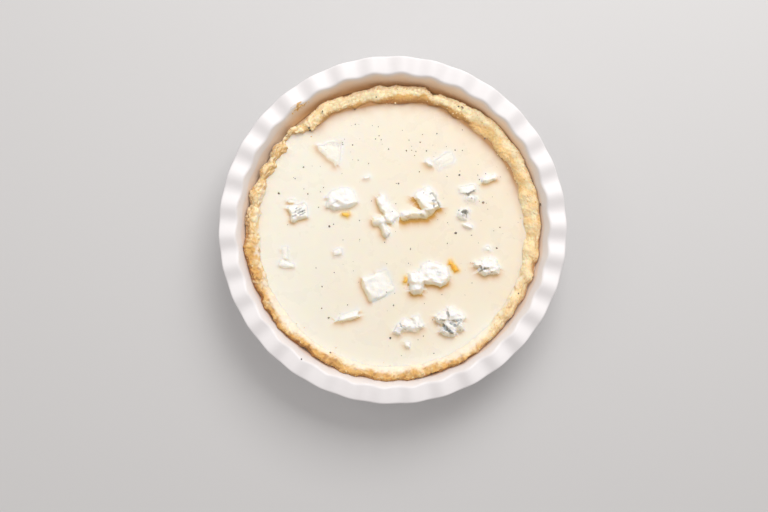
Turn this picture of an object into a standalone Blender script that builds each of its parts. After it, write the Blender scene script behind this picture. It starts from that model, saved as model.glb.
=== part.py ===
# A pumpkin quiche in its ruffled white pie dish, filled and ready for the oven.
#
# Sizes are in metres, +Z is up, and the origin is the middle of the dish's foot on the table.
# Angles round the dish run anticlockwise from +X.

import math
import random

import bmesh
import bpy
from mathutils import Matrix, Vector, noise

MM = 0.001
GAP = 0.3 * MM                    # air between pieces that lie against each other

# The dish
DISH_RADIUS = 126 * MM            # to the outside of the rim
DISH_WALL = 5 * MM
DISH_FLOOR = 5 * MM
FLANGE_LEVEL = 44.5 * MM          # upper face of the flange, halfway between crest and dip
FLANGE_THICKNESS = 4.6 * MM
MOUTH_RADIUS = 113.5 * MM         # where the wall meets the flange
WALL_SLOPE = 0.36                 # how far the wall leans out for each metre of height
FLOOR_CORNER = 8 * MM             # inside radius between floor and wall
FOOT_INNER_RADIUS = 93 * MM
FOOT_RECESS = 1.5 * MM
RUFFLES = 34
RUFFLE_HEIGHT = 1.5 * MM          # above and below the flange's mean level
RUFFLE_START = math.radians(1.8)  # angle of the first crest
RUFFLE_FADE = 9 * MM              # depth over which the ruffle dies out down the wall
STEPS_PER_RUFFLE = 4

# The pastry case
PASTRY_FLOOR = 4 * MM
PASTRY_LEANS_ABOVE = 23 * MM      # up to here the pastry lies on the dish's wall
PASTRY_FOOT_RADIUS = 93.5 * MM    # inside, near the floor
PASTRY_STEPS = 160
PASTRY_FINE_SIDE = 0.35           # how much closer the steps lie on the pinched side, at -X
LUMP_REACH = 2.3 * MM             # how far a pinched lump sticks out
LUMP_RISE = 1.3 * MM
LUMP_BULGE_INSIDE = 1.2 * MM
LUMP_BULGE_AT_CUSTARD = 0.8 * MM
LUMP_LEAN = 2.5                   # degrees by which a lump's inner end lags behind its outer end
INNER_FACE_SHARE = 0.62           # of the way from the custard to the outer edge
CRUMB_RELIEF = 0.7 * MM
CRUMB_SIZE = 7 * MM
CRUMB_SEED = 5
CUSTARD_EDGE = 1                  # place in the pastry's section of the point at the custard's level
FIRST_LOOSE = 2                   # from this point of the section to the last loose one it is crumbly
LAST_LOOSE = 7

# The filling
CUSTARD_LEVEL = 31 * MM
CUSTARD_GAP = 1.1 * GAP           # measured level, because the pastry leans
TOPPING_SUNK = 3 * MM             # how far a topping reaches below the custard
SUNK_SCALE = 0.84                 # width of its sunk end against its width at the custard
PLAIN_BELOW = 9 * MM              # a shorter chunk has eight sides, a longer one twelve
SHOULDER_ABOVE = 12 * MM          # a longer chunk has a rounded shoulder
UNEVEN_OUTLINE = (0.93, 1.05)     # spread of a chunk's corners about its even outline
UNEVEN_TOP = (0.94, 1.04)
LOWEST_TIP = 0.15                 # a tipped chunk keeps this share of its height at its low end
PEPPER_RADIUS = 0.65 * MM
PEPPER_SPREAD = (0.8, 1.15)
PEPPER_TOP = 0.4                  # width of a flake's top against its foot
PEPPER_PROUD = 0.35 * MM
PEPPER_SUNK = 0.25 * MM

# The pastry's edge round the dish, in degrees and millimetres:
# angle, outer radius between lumps, crest height, width of the top, radius at the custard
PASTRY_EDGE = (
    (0, 108.4, 36.2, 6.8, 96.6),
    (30, 108.2, 36.0, 7.2, 96.4),
    (50, 107.6, 35.7, 7.4, 94.8),
    (66, 106.4, 35.4, 6.4, 95.0),
    (80, 105.4, 35.2, 7.6, 95.2),
    (92, 105.0, 35.1, 8.4, 93.6),
    (107, 104.7, 35.0, 8.4, 93.0),
    (117, 104.2, 34.8, 7.6, 94.6),
    (124, 102.4, 34.6, 6.6, 93.2),
    (128, 101.4, 34.4, 5.4, 92.4),
    (132, 103.6, 34.6, 5.0, 96.0),
    (142, 104.0, 35.0, 4.6, 98.0),
    (160, 105.2, 35.8, 4.8, 97.6),
    (180, 107.4, 36.8, 4.8, 98.2),
    (205, 108.4, 37.7, 4.4, 98.8),
    (233, 107.2, 37.8, 4.2, 99.6),
    (260, 109.4, 38.4, 4.6, 100.0),
    (292, 109.2, 37.9, 4.6, 99.8),
    (320, 106.6, 36.2, 5.0, 98.4),
    (345, 107.6, 36.0, 6.0, 97.0),
)

# Thumb-pinched lumps along that edge: angle and half width, in degrees
PASTRY_LUMPS = (
    (12, 7), (44, 5), (60, 5), (77, 3), (88, 5), (119, 4), (135, 3), (145, 3), (156, 3), (166.5, 3),
    (175.5, 3), (189.5, 3), (199, 3), (209, 3), (222, 5), (241, 4), (252, 4), (271, 6), (288, 6), (303, 6),
    (329, 4), (342, 3), (352, 3),
)
CRACKS = ((72.6, 1.9, 5.0), (129.8, 1.3, 2.5))   # angle, half width in degrees, depth in millimetres

# Cheese, one node each, made of one or more overlapping chunks.
# A chunk has its middle, its length and width, its mean height above the custard in millimetres,
# its turn in degrees, how far its two ends and its two sides tip, and how round and tapered it is.
CHEESE = (
    # thin flake at the top left
    (dict(at=(-46.4, 58.9), size=(19, 14, 1.1), turn=-14, tip=(0.1, -0.75), taper=0.75, round=0.2),),
    # striped slab at the left, and the low bit against it
    (dict(at=(-69.4, 13.3), size=(14.7, 13.2, 2.3), turn=17, tip=(-0.25, -0.55), round=0.2),
     dict(at=(-74.3, 21.6), size=(7.0, 4.6, 0.8), turn=-8, round=0.6)),
    # big rounded lump
    (dict(at=(-38.2, 23.2), size=(22.8, 16.4, 4.2), turn=14, tip=(0.1, -0.2), round=0.75),
     dict(at=(-45.6, 19.0), size=(10.3, 6.6, 2.6), turn=20, round=0.6)),
    (dict(at=(-19.5, 38.6), size=(5.9, 4.4, 1.2), turn=10, round=0.8),),
    # broken stick with two crumbs at its lower end
    (dict(at=(-4.4, 16.1), size=(22.4, 9.4, 3.6), turn=-58, tip=(0.2, -0.2), round=0.45, taper=0.3),
     dict(at=(-9.6, 7.0), size=(11.0, 7.0, 2.8), turn=28, round=0.6),
     dict(at=(-7.4, 2.4), size=(6.4, 8.0, 2.2), turn=30, round=0.6),
     dict(at=(-4.8, -1.8), size=(8.0, 7.0, 3.6), turn=45, round=0.6)),
    # tall veined block, with the ledge beside it
    (dict(at=(26.0, 21.6), size=(20.6, 15.0, 4.3), turn=-58, tip=(0.4, -0.1), round=0.3),
     dict(at=(15.8, 11.2), size=(20.4, 6.4, 3.2), turn=4, tip=(0.1, -0.2), round=0.5)),
    (dict(at=(26.3, 49.2), size=(5.9, 5.1, 2.0), turn=0, tip=(0, -0.3), round=0.7),),
    # sunken flake at the top right
    (dict(at=(38.3, 52.0), size=(15.4, 8.8, 0.9), turn=25, tip=(-0.2, -0.2), round=0.4),
     dict(at=(33.4, 47.4), size=(7.4, 4.2, 1.0), turn=-50, round=0.4)),
    (dict(at=(71.0, 38.0), size=(12.5, 6.2, 2.4), turn=9, tip=(0.2, -0.3), round=0.55),),
    # flat piece with a dark rind
    (dict(at=(54.9, 30.2), size=(13.2, 7.3, 1.8), turn=5, tip=(0, -0.3), round=0.45),
     dict(at=(57.3, 23.8), size=(10.3, 6.4, 1.0), turn=-20, round=0.5)),
    (dict(at=(51.7, 11.9), size=(8.8, 10.0, 2.6), turn=-12, tip=(0, -0.1), round=0.6),),
    (dict(at=(55.4, 3.4), size=(7.3, 4.8, 1.8), turn=-10, tip=(0, -0.3), round=0.6),),
    # boot-shaped flake at the left
    (dict(at=(-79.2, -16.6), size=(5.6, 12.5, 1.2), turn=4, tip=(0, -0.3), round=0.4),
     dict(at=(-77.9, -25.4), size=(12.5, 5.9, 1.9), turn=-8, tip=(0, -0.35), round=0.45)),
    (dict(at=(-40.5, -16.0), size=(8.1, 5.9, 1.6), turn=20, tip=(0, -0.2), round=0.6),),
    # big flat slab in the middle
    (dict(at=(-11.1, -40.3), size=(22.6, 19.4, 2.2), turn=26, tip=(-0.62, -0.2), round=0.12),),
    # biggest lump, two lobes
    (dict(at=(17.1, -39.0), size=(19.0, 10.8, 4.8), turn=-80, tip=(0.1, 0.1), round=0.75),
     dict(at=(30.6, -32.4), size=(24.0, 17.6, 5.0), turn=-16, tip=(0.05, -0.1), round=0.8)),
    # crumbly veined lump at the right
    (dict(at=(69.7, -26.3), size=(15.4, 14.4, 4.6), turn=12, tip=(0, -0.1), round=0.7),
     dict(at=(62.4, -24.3), size=(6.6, 6.0, 3.4), turn=0, round=0.7),
     dict(at=(75.6, -29.6), size=(7.3, 8.6, 3.4), turn=-10, round=0.6)),
    (dict(at=(70.1, -13.8), size=(5.9, 4.4, 0.9), turn=0, round=0.7),),
    # wedge at the lower left
    (dict(at=(-31.7, -63.5), size=(14.7, 6.6, 2.0), turn=18, tip=(0.2, -0.4), round=0.4),
     dict(at=(-39.6, -66.4), size=(6.6, 3.4, 0.9), turn=10, round=0.5)),
    # crumbly cluster at the bottom
    (dict(at=(11.4, -71.6), size=(17.6, 7.3, 2.4), turn=0, round=0.6),
     dict(at=(3.9, -73.2), size=(6.6, 9.5, 3.7), turn=-24, round=0.6),
     dict(at=(10.2, -69.2), size=(8.8, 7.3, 4.2), turn=-35, round=0.6),
     dict(at=(18.3, -67.6), size=(8.1, 12.5, 3.8), turn=22, round=0.6)),
    (dict(at=(11.0, -84.9), size=(6.6, 5.9, 2.4), turn=0, tip=(0, -0.3), round=0.7),),
    # crumbly cluster at the lower right
    (dict(at=(42.3, -68.7), size=(15.0, 15.0, 3.0), turn=0, round=0.7),
     dict(at=(35.9, -64.1), size=(10.3, 8.1, 4.8), turn=15, round=0.6),
     dict(at=(46.6, -62.6), size=(16.2, 9.5, 5.6), turn=-25, round=0.6),
     dict(at=(40.1, -75.4), size=(14.0, 5.6, 3.9), turn=-20, round=0.5),
     dict(at=(49.4, -70.1), size=(8.1, 10.3, 4.3), turn=-14, round=0.6)),
)

PUMPKIN = (
    dict(at=(44.9, -26.6), size=(11.4, 4.2, 1.5), turn=-54, tip=(0, -0.2), round=0.5),
    dict(at=(9.0, -36.9), size=(5.6, 2.8, 1.1), turn=84, round=0.6),
    dict(at=(-34.4, 11.9), size=(7.0, 3.4, 1.1), turn=12, round=0.6),
)

# The largest flakes of pepper on the custard, x and y in millimetres
PEPPER = (
    (-1.8, -79.1), (66.6, 20.9), (-47.1, -64.1), (46.5, -1.8), (-46.5, 3.2), (-83.6, 27.5), (10.1, 58.7),
    (76.7, -12.9), (-65.5, 46.7), (-62.4, 27.0), (4.4, 34.7), (49.1, 41.0), (79.1, 2.4), (-52.0, -41.2),
    (-3.0, 59.9), (0.7, -55.0), (-8.5, 66.9), (32.6, 71.3), (58.2, -3.4), (-71.6, 38.3), (-43.0, -30.8),
    (13.2, -13.6), (-33.2, -54.7), (22.8, -77.9),
)

GLAZE_WHITE = (0.87, 0.85, 0.84, 1)
PASTRY_GOLD = (0.80, 0.55, 0.26, 1)
CUSTARD_CREAM = (0.93, 0.83, 0.66, 1)
CHEESE_WHITE = (0.92, 0.90, 0.84, 1)
PUMPKIN_ORANGE = (0.90, 0.42, 0.05, 1)


def clearScene():
    for obj in list(bpy.data.objects):
        bpy.data.objects.remove(obj, do_unlink=True)


def newCollection(name):
    collection = bpy.data.collections.new(name)
    bpy.context.scene.collection.children.link(collection)
    return collection


def newMaterial(name, colour, roughness):
    material = bpy.data.materials.new(name)
    material.use_nodes = True
    shader = material.node_tree.nodes["Principled BSDF"]
    shader.inputs["Base Color"].default_value = colour
    shader.inputs["Roughness"].default_value = roughness
    shader.inputs["Metallic"].default_value = 0
    return material


def objectFromBmesh(name, bm, collection, material=None):
    bmesh.ops.recalc_face_normals(bm, faces=bm.faces)
    mesh = bpy.data.meshes.new(name)
    bm.to_mesh(mesh)
    bm.free()
    mesh.shade_smooth()
    mesh.set_sharp_from_angle(angle=math.radians(35))
    if material:
        mesh.materials.append(material)
    obj = bpy.data.objects.new(name, mesh)
    collection.objects.link(obj)
    return obj


def arc(centreR, centreZ, radius, start, end, steps):
    """Points of an arc in the (radius, height) plane, angles in degrees."""
    points = []
    for i in range(steps + 1):
        angle = math.radians(start + (end - start) * i / steps)
        points.append((centreR + radius * math.cos(angle), centreZ + radius * math.sin(angle)))
    return points


def smoothStep(low, high, value):
    t = min(1, max(0, (value - low) / (high - low)))
    return t * t * (3 - 2 * t)


# ---- the dish ----

LEAN = math.degrees(math.atan(WALL_SLOPE))     # the wall's normal is this far below level
LEAN_COS = math.cos(math.radians(LEAN))
LEAN_SIN = math.sin(math.radians(LEAN))


def wallRadius(height):
    """Radius of the dish's inner wall."""
    return MOUTH_RADIUS - WALL_SLOPE * (FLANGE_LEVEL - height)


def floorCorner(radius, steps=2):
    """The round corner between floor and wall, or one parallel to it."""
    centreZ = DISH_FLOOR + FLOOR_CORNER
    centreR = wallRadius(centreZ) - FLOOR_CORNER / LEAN_COS
    return arc(centreR, centreZ, radius, -90, -LEAN, steps)


def dishProfile():
    edgeRadius = 1.8 * MM
    noseRadius = FLANGE_THICKNESS / 2
    kneeRadius = 3 * MM
    heelRadius = 4 * MM
    outerShift = DISH_WALL / LEAN_COS
    profile = floorCorner(FLOOR_CORNER)
    edgeR = MOUTH_RADIUS + edgeRadius * (1 - LEAN_SIN) / LEAN_COS
    profile += arc(edgeR, FLANGE_LEVEL - edgeRadius, edgeRadius, 180 - LEAN, 90, 2)
    profile += arc(DISH_RADIUS - noseRadius, FLANGE_LEVEL - noseRadius, noseRadius, 90, -90, 4)
    kneeZ = FLANGE_LEVEL - FLANGE_THICKNESS - kneeRadius
    kneeR = wallRadius(kneeZ) + outerShift + kneeRadius / LEAN_COS
    profile += arc(kneeR, kneeZ, kneeRadius, 90, 180 - LEAN, 1)
    heelR = wallRadius(0) + outerShift - heelRadius * (1 - LEAN_SIN) / LEAN_COS
    profile += arc(heelR, heelRadius, heelRadius, -LEAN, -90, 1)
    profile += [(FOOT_INNER_RADIUS, 0), (FOOT_INNER_RADIUS - FOOT_RECESS, FOOT_RECESS)]
    return profile


def turned(profile, steps):
    """Spins a profile round Z, open at the middle of both faces."""
    mesh = bpy.data.meshes.new("profile")
    edges = [(i, i + 1) for i in range(len(profile) - 1)]
    mesh.from_pydata([(r, 0, z) for r, z in profile], edges, [])
    obj = bpy.data.objects.new("profile", mesh)
    bpy.context.scene.collection.objects.link(obj)
    screw = obj.modifiers.new("turn", "SCREW")
    screw.axis = "Z"
    screw.angle = math.tau
    screw.steps = screw.render_steps = steps
    screw.use_merge_vertices = True
    screw.merge_threshold = 0.00001
    evaluated = obj.evaluated_get(bpy.context.evaluated_depsgraph_get())
    bm = bmesh.new()
    bm.from_mesh(evaluated.to_mesh())
    evaluated.to_mesh_clear()
    bpy.data.objects.remove(obj)
    return bm


def halveFacets(bm, steps, height):
    """Merges every second point of the rings below a height, where a turned shape is plain."""
    rings = {}
    for vertex in bm.verts:
        radius = math.hypot(vertex.co.x, vertex.co.y)
        step = round(math.atan2(vertex.co.y, vertex.co.x) * steps / math.tau) % steps
        rings[round(radius / MM, 2), round(vertex.co.z / MM, 2), step] = vertex
    merged = {vertex: rings[radius, level, step - 1] for (radius, level, step), vertex in rings.items()
              if step % 2 and level < height / MM}
    bmesh.ops.weld_verts(bm, targetmap=merged)


def ruffle(point):
    """Moves a point of the plain dish to where the ruffled flange has it."""
    underside = FLANGE_LEVEL - FLANGE_THICKNESS
    share = smoothStep(underside - RUFFLE_FADE, underside, point.z)
    radius = math.hypot(point.x, point.y)
    angle = math.atan2(point.y, point.x)
    rise = share * RUFFLE_HEIGHT * math.cos(RUFFLES * (angle - RUFFLE_START))
    # the wall stays a plain cone, so its upper edge runs outwards where it runs upwards
    towardsWall = min(1, max(0, (DISH_RADIUS - radius) / (DISH_RADIUS - MOUTH_RADIUS)))
    radius += rise * WALL_SLOPE * towardsWall
    return Vector((radius * math.cos(angle), radius * math.sin(angle), point.z + rise))


def makeDish(collection, material):
    steps = RUFFLES * STEPS_PER_RUFFLE
    bm = turned(dishProfile(), steps)
    halveFacets(bm, steps, FLANGE_LEVEL / 2)
    bmesh.ops.holes_fill(bm, edges=[edge for edge in bm.edges if edge.is_boundary], sides=0)
    bmesh.ops.rotate(bm, verts=bm.verts, matrix=Matrix.Rotation(RUFFLE_START, 3, "Z"))
    for vertex in bm.verts:
        vertex.co = ruffle(vertex.co)
    return objectFromBmesh("dish", bm, collection, material)


# ---- the pastry case and the custard in it ----

def pastryAngles():
    """Angles round the case, closer together on the pinched side."""
    for i in range(PASTRY_STEPS):
        turn = math.tau * i / PASTRY_STEPS
        yield turn + PASTRY_FINE_SIDE * math.sin(turn)


def apart(angle, other):
    """Signed difference of two angles in degrees."""
    return (angle - other + 180) % 360 - 180


def edgeAt(degrees):
    """Outer radius, crest height, top width and custard radius, blended between the listed places."""
    stations = PASTRY_EDGE + ((PASTRY_EDGE[0][0] + 360,) + PASTRY_EDGE[0][1:],)
    for low, high in zip(stations, stations[1:]):
        if low[0] <= degrees <= high[0]:
            t = smoothStep(low[0], high[0], degrees)
            return [(a + (b - a) * t) * MM for a, b in zip(low[1:], high[1:])]


def lumpAt(degrees):
    """How far into a pinched lump this place is, 0 to 1."""
    return max(math.exp(-(apart(degrees, place) / width) ** 2) for place, width in PASTRY_LUMPS)


def crackAt(degrees):
    """How deep a crack in the edge is at this place."""
    return sum(depth * MM * math.exp(-(apart(degrees, place) / width) ** 2)
               for place, width, depth in CRACKS)


def pastrySection(angle):
    """One section of the case as (radius, height) points, from the floor inside, over and under."""
    degrees = math.degrees(angle) % 360
    outer, crest, width, custard = edgeAt(degrees)
    lump = lumpAt(degrees)
    crack = crackAt(degrees)
    innerEnd = lumpAt((degrees + LUMP_LEAN) % 360)
    outer += LUMP_REACH * lump - crack
    crest += LUMP_RISE * lump - 0.4 * crack
    inner = min(outer - width, custard + INNER_FACE_SHARE * (outer - custard))
    inner -= LUMP_BULGE_INSIDE * innerEnd
    custard -= LUMP_BULGE_AT_CUSTARD * innerEnd - 0.5 * crack
    floor = DISH_FLOOR + GAP + PASTRY_FLOOR
    rise = crest - CUSTARD_LEVEL
    # the crest is rounded by its four highest points, and the last point lies on the dish's wall
    section = [
        (PASTRY_FOOT_RADIUS, floor),
        (custard, CUSTARD_LEVEL),
        (custard + 0.45 * (inner - custard), CUSTARD_LEVEL + 0.5 * rise),
        (inner, crest - 0.12 * rise),
        ((inner + outer) / 2, crest),
        (outer - 1.2 * MM, crest - 0.7 * MM),
        (outer, crest - 2.4 * MM),
        (outer - 0.8 * MM, crest - 6 * MM),
        (wallRadius(PASTRY_LEANS_ABOVE), PASTRY_LEANS_ABOVE),
    ]
    section += reversed(floorCorner(FLOOR_CORNER - GAP))
    return section


def crumbly(point, share):
    """Moves a point of the pastry's edge by an uneven relief of crumbs in two sizes."""
    place = point / CRUMB_SIZE
    shift = noise.noise_vector(place) + 0.5 * noise.noise_vector(place * 2.1)
    return point + Vector((shift.x, shift.y, 0.8 * shift.z)) * CRUMB_RELIEF * share


def keepOffWall(point):
    """Keeps a point of the pastry clear of the dish's wall."""
    radius = math.hypot(point.x, point.y)
    limit = wallRadius(point.z) - 1.15 * GAP / LEAN_COS     # a little more, for the flats of the case
    if radius > limit:
        point = Vector((point.x * limit / radius, point.y * limit / radius, point.z))
    return point


def loft(name, rings, collection, material):
    """A closed solid from rings of points, each as many as the last or half or twice as many."""
    bm = bmesh.new()
    loops = [[bm.verts.new(point) for point in ring] for ring in rings]
    for upper, lower in zip(loops, loops[1:]):
        coarse, fine = sorted((upper, lower), key=len)
        for i in range(len(coarse)):
            if len(fine) == len(coarse):
                bm.faces.new((fine[i - 1], fine[i], coarse[i], coarse[i - 1]))
            else:
                bm.faces.new((fine[2 * i - 2], fine[2 * i - 1], coarse[i - 1]))
                bm.faces.new((fine[2 * i - 1], fine[2 * i], coarse[i], coarse[i - 1]))
    bm.faces.new(loops[0])
    bm.faces.new(loops[-1])
    return objectFromBmesh(name, bm, collection, material)


def onAngle(angle, radius, height):
    return Vector((radius * math.cos(angle), radius * math.sin(angle), height))


def makeCase(collection, material):
    """The pastry case. Its plain rings, under the custard and the edge, have half as many points."""
    noise.seed_set(CRUMB_SEED)
    columns = []
    for angle in pastryAngles():
        column = []
        for place, (radius, height) in enumerate(pastrySection(angle)):
            point = onAngle(angle, radius, height)
            if FIRST_LOOSE <= place <= LAST_LOOSE:
                point = crumbly(point, 0.6 if place == FIRST_LOOSE else 1)
            if FIRST_LOOSE < place <= LAST_LOOSE + 1:
                point = keepOffWall(point)
            column.append(point)
        columns.append(column)
    rings = []
    for place, ring in enumerate(zip(*columns)):
        plain = place < CUSTARD_EDGE or place > LAST_LOOSE
        rings.append(ring[::2] if plain else ring)
    return loft("crust", rings, collection, material)


def makeCustard(collection, material):
    edge = []
    foot = []
    for angle in pastryAngles():
        (footRadius, floor), (radius, level) = pastrySection(angle)[:2]
        edge.append(onAngle(angle, radius - CUSTARD_GAP, level))
        foot.append(onAngle(angle, footRadius - CUSTARD_GAP, floor + GAP))
    return loft("custard", [edge, foot[::2]], collection, material)


# ---- toppings ----

def chunkOutline(length, width, roundness, taper, plain):
    """Points round a chunk: two at each corner and, unless it is plain, one in each side."""
    a, b = length / 2, width / 2
    cut = min(a, b) * (0.12 + 0.5 * roundness)
    points = []
    for signU, signV in ((1, 1), (-1, 1), (-1, -1), (1, -1)):
        corner = [(signU * a, signV * (b - cut)), (signU * (a - cut), signV * b)]
        if signU != signV:
            corner.reverse()
        if not plain:
            corner.insert(0, (signU * a, 0) if signU == signV else (0, signV * b))
        points += corner
    return [(u, v * (1 + taper * u / a)) for u, v in points]


def chunkRings(chunk, seed, grow):
    """Rings of a chunk, or of the pocket round it, in the chunk's own place on the custard."""
    length, width, height = (value * MM for value in chunk["size"])
    roundness = chunk["round"]
    tipLength, tipWidth = chunk.get("tip", (0, 0))
    random.seed(seed)
    plain = length < PLAIN_BELOW
    taper = chunk.get("taper", 0)
    points = chunkOutline(length + 2 * grow, width + 2 * grow, roundness, taper, plain)
    uneven = [random.uniform(*UNEVEN_OUTLINE) for point in points]
    points = [(u * share, v * share) for (u, v), share in zip(points, uneven)]
    levels = [(-TOPPING_SUNK - grow, SUNK_SCALE), (0, 1)]
    if grow:
        levels.append((3 * height + 2 * MM, 1))    # well clear of the chunk's top
    elif length < SHOULDER_ABOVE:
        levels.append((height, 0.8 - 0.22 * roundness))
    else:
        levels += [(0.66 * height, 0.96 - 0.12 * roundness), (height, 0.86 - 0.24 * roundness)]
    turn = Matrix.Rotation(math.radians(chunk["turn"]), 3, "Z")
    centre = Vector((chunk["at"][0] * MM, chunk["at"][1] * MM, CUSTARD_LEVEL))
    rings = []
    for level, scale in levels:
        ring = []
        for u, v in points:
            z = level
            if level > 0 and not grow:
                tipped = 1 + tipLength * 2 * u / length + tipWidth * 2 * v / width
                z = level * max(LOWEST_TIP, tipped) * random.uniform(*UNEVEN_TOP)
            ring.append(centre + turn @ Vector((u * scale, v * scale, z)))
        rings.append(ring)
    return rings


def combine(first, operation, others):
    """Joins a collection's objects to the first, or cuts them from it, and removes them."""
    boolean = first.modifiers.new("combine", "BOOLEAN")
    boolean.operation = operation
    boolean.solver = "EXACT"
    boolean.operand_type = "COLLECTION"
    boolean.collection = others
    evaluated = first.evaluated_get(bpy.context.evaluated_depsgraph_get())
    oldMesh = first.data
    newMesh = bpy.data.meshes.new_from_object(evaluated)
    first.modifiers.clear()
    first.data = newMesh
    bpy.data.meshes.remove(oldMesh)
    newMesh.name = first.name
    for other in list(others.objects):
        bpy.data.objects.remove(other)
    bpy.data.collections.remove(others)


def makeTopping(name, chunks, seed, collection, material):
    topping = loft(name, chunkRings(chunks[0], seed, 0), collection, material)
    if len(chunks) > 1:
        others = newCollection("chunks")
        for i, chunk in enumerate(chunks[1:], 1):
            loft("chunk", chunkRings(chunk, seed + i, 0), others, material)
        combine(topping, "UNION", others)


def makePockets(chunks, seed, pockets):
    """Cutters for the custard, a little larger than the chunks that lie in it."""
    for i, chunk in enumerate(chunks):
        pocket = loft("pocket", chunkRings(chunk, seed + i, GAP), pockets, None)
        pocket.hide_render = True
        pocket.display_type = "WIRE"


def makePepper(material):
    pepper = newCollection("pepper")
    for i, (x, y) in enumerate(PEPPER):
        random.seed(i)
        bm = bmesh.new()
        middle = CUSTARD_LEVEL + (PEPPER_PROUD - PEPPER_SUNK) / 2
        place = Matrix.Translation((x * MM, y * MM, middle))
        turn = Matrix.Rotation(random.uniform(0, math.tau), 4, "Z")
        radius = PEPPER_RADIUS * random.uniform(*PEPPER_SPREAD)
        bmesh.ops.create_cone(bm, cap_ends=True, segments=5, radius1=radius, radius2=PEPPER_TOP * radius,
                              depth=PEPPER_PROUD + PEPPER_SUNK, matrix=place @ turn)
        objectFromBmesh("flake", bm, pepper, material)
    return pepper


def main():
    clearScene()
    quiche = newCollection("pumpkin quiche")
    pockets = newCollection("pockets")
    makeDish(quiche, newMaterial("white glaze", GLAZE_WHITE, 0.15))
    makeCase(quiche, newMaterial("baked pastry", PASTRY_GOLD, 0.8))
    cream = newMaterial("cream custard", CUSTARD_CREAM, 0.3)
    custard = makeCustard(quiche, cream)
    cheese = newMaterial("blue cheese", CHEESE_WHITE, 0.5)
    pumpkin = newMaterial("pumpkin flesh", PUMPKIN_ORANGE, 0.4)
    for number, chunks in enumerate(CHEESE, 1):
        makeTopping(f"cheese_{number:02d}", chunks, 10 * number, quiche, cheese)
        makePockets(chunks, 10 * number, pockets)
    for number, chunk in enumerate(PUMPKIN, 1):
        makeTopping(f"pumpkin_{number:02d}", (chunk,), 500 + number, quiche, pumpkin)
        makePockets((chunk,), 500 + number, pockets)
    combine(custard, "DIFFERENCE", pockets)
    combine(custard, "UNION", makePepper(cream))


main()
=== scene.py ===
# A pumpkin quiche in its ruffled white pie dish, filled and ready for the oven.
# Metres, +Z up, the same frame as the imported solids. Angles run anticlockwise from +X.

import math
import random

import bpy
import numpy as np
from mathutils import Euler, Matrix, Vector, kdtree, noise
from mathutils.bvhtree import BVHTree


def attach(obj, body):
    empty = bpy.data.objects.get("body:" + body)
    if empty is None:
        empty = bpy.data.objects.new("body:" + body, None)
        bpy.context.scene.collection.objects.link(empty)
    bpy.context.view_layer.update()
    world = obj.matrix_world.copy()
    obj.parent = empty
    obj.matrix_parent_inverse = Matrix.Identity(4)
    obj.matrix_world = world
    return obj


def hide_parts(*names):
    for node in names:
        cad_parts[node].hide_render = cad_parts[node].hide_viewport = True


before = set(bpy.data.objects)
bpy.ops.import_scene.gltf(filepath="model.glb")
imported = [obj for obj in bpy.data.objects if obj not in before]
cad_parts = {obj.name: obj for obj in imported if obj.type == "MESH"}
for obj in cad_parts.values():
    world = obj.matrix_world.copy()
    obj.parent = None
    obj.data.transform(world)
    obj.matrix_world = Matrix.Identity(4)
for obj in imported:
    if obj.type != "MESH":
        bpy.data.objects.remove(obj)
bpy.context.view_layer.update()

mm = 0.001
sameSpot = 0.01 * mm        # points this near each other are one
random.seed(11)
noise.seed_set(11)
print("frame: %d solids" % len(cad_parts))


# working tools

def objectMode():
    bpy.ops.object.mode_set(mode="OBJECT")


def editMode():
    bpy.ops.object.mode_set(mode="EDIT")


def deselectObjects():
    bpy.ops.object.select_all(action="DESELECT")


def pickAll(action="SELECT"):
    bpy.ops.mesh.select_all(action=action)


def onlySelect(obj):
    if bpy.context.mode != "OBJECT":
        objectMode()
    deselectObjects()
    obj.select_set(True)
    bpy.context.view_layer.objects.active = obj


def applyNew(obj, kind, **settings):
    modifier = obj.modifiers.new(kind.title(), kind)
    for name, value in settings.items():
        setattr(modifier, name, value)
    onlySelect(obj)
    bpy.ops.object.modifier_apply(modifier=modifier.name)


def shade(obj, angle=None):
    # smooth all over or, given an angle, but for the edges sharper than it
    onlySelect(obj)
    if angle:
        bpy.ops.object.shade_smooth_by_angle(angle=math.radians(angle))
    else:
        bpy.ops.object.shade_smooth()


def newPiece(name):
    # the primitive just added, named
    piece = bpy.context.object
    piece.name = name
    piece.data.name = name
    return piece


def copyOfNode(node, name):
    piece = bpy.data.objects.new(name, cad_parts[node].data.copy())
    piece.data.name = name
    piece.data.materials.clear()
    bpy.context.scene.collection.objects.link(piece)
    onlySelect(piece)
    editMode()
    pickAll()
    bpy.ops.mesh.customdata_custom_splitnormals_clear()
    bpy.ops.mesh.remove_doubles(threshold=sameSpot)     # the solids come as loose triangles
    objectMode()
    bpy.ops.object.shade_smooth()
    return piece


def getPoints(obj, what="co"):
    flat = np.empty(len(obj.data.vertices) * 3, np.float32)
    obj.data.vertices.foreach_get(what, flat)
    return flat.reshape(-1, 3).astype(float)


def getNormals(obj):
    return getPoints(obj, "normal")


def setPoints(obj, points):
    obj.data.vertices.foreach_set("co", points.astype(np.float32).ravel())
    obj.data.update()


def setMasks(obj, **masks):
    for name, values in masks.items():
        attribute = obj.data.attributes.new(name, "FLOAT", "POINT")
        attribute.data.foreach_set("value", np.asarray(values, np.float32))


def blendStep(low, high, value):
    share = np.clip((value - low) / (high - low), 0, 1)
    return share * share * (3 - 2 * share)


def around(angle, radius):
    return radius * math.cos(angle), radius * math.sin(angle)


def radiusOf(points):
    return np.hypot(points[:, 0], points[:, 1])


def bandsOf(points):
    # gives a function that is 1 between two angles round the dish and fades to 0 at both of them
    angle = np.degrees(np.arctan2(points[:, 1], points[:, 0])) % 360

    def band(start, end, fade):
        middle, half = (start + end) / 2, (end - start) / 2
        return 1 - blendStep(half - fade, half + fade, np.abs((angle - middle + 180) % 360 - 180))
    return band


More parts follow.
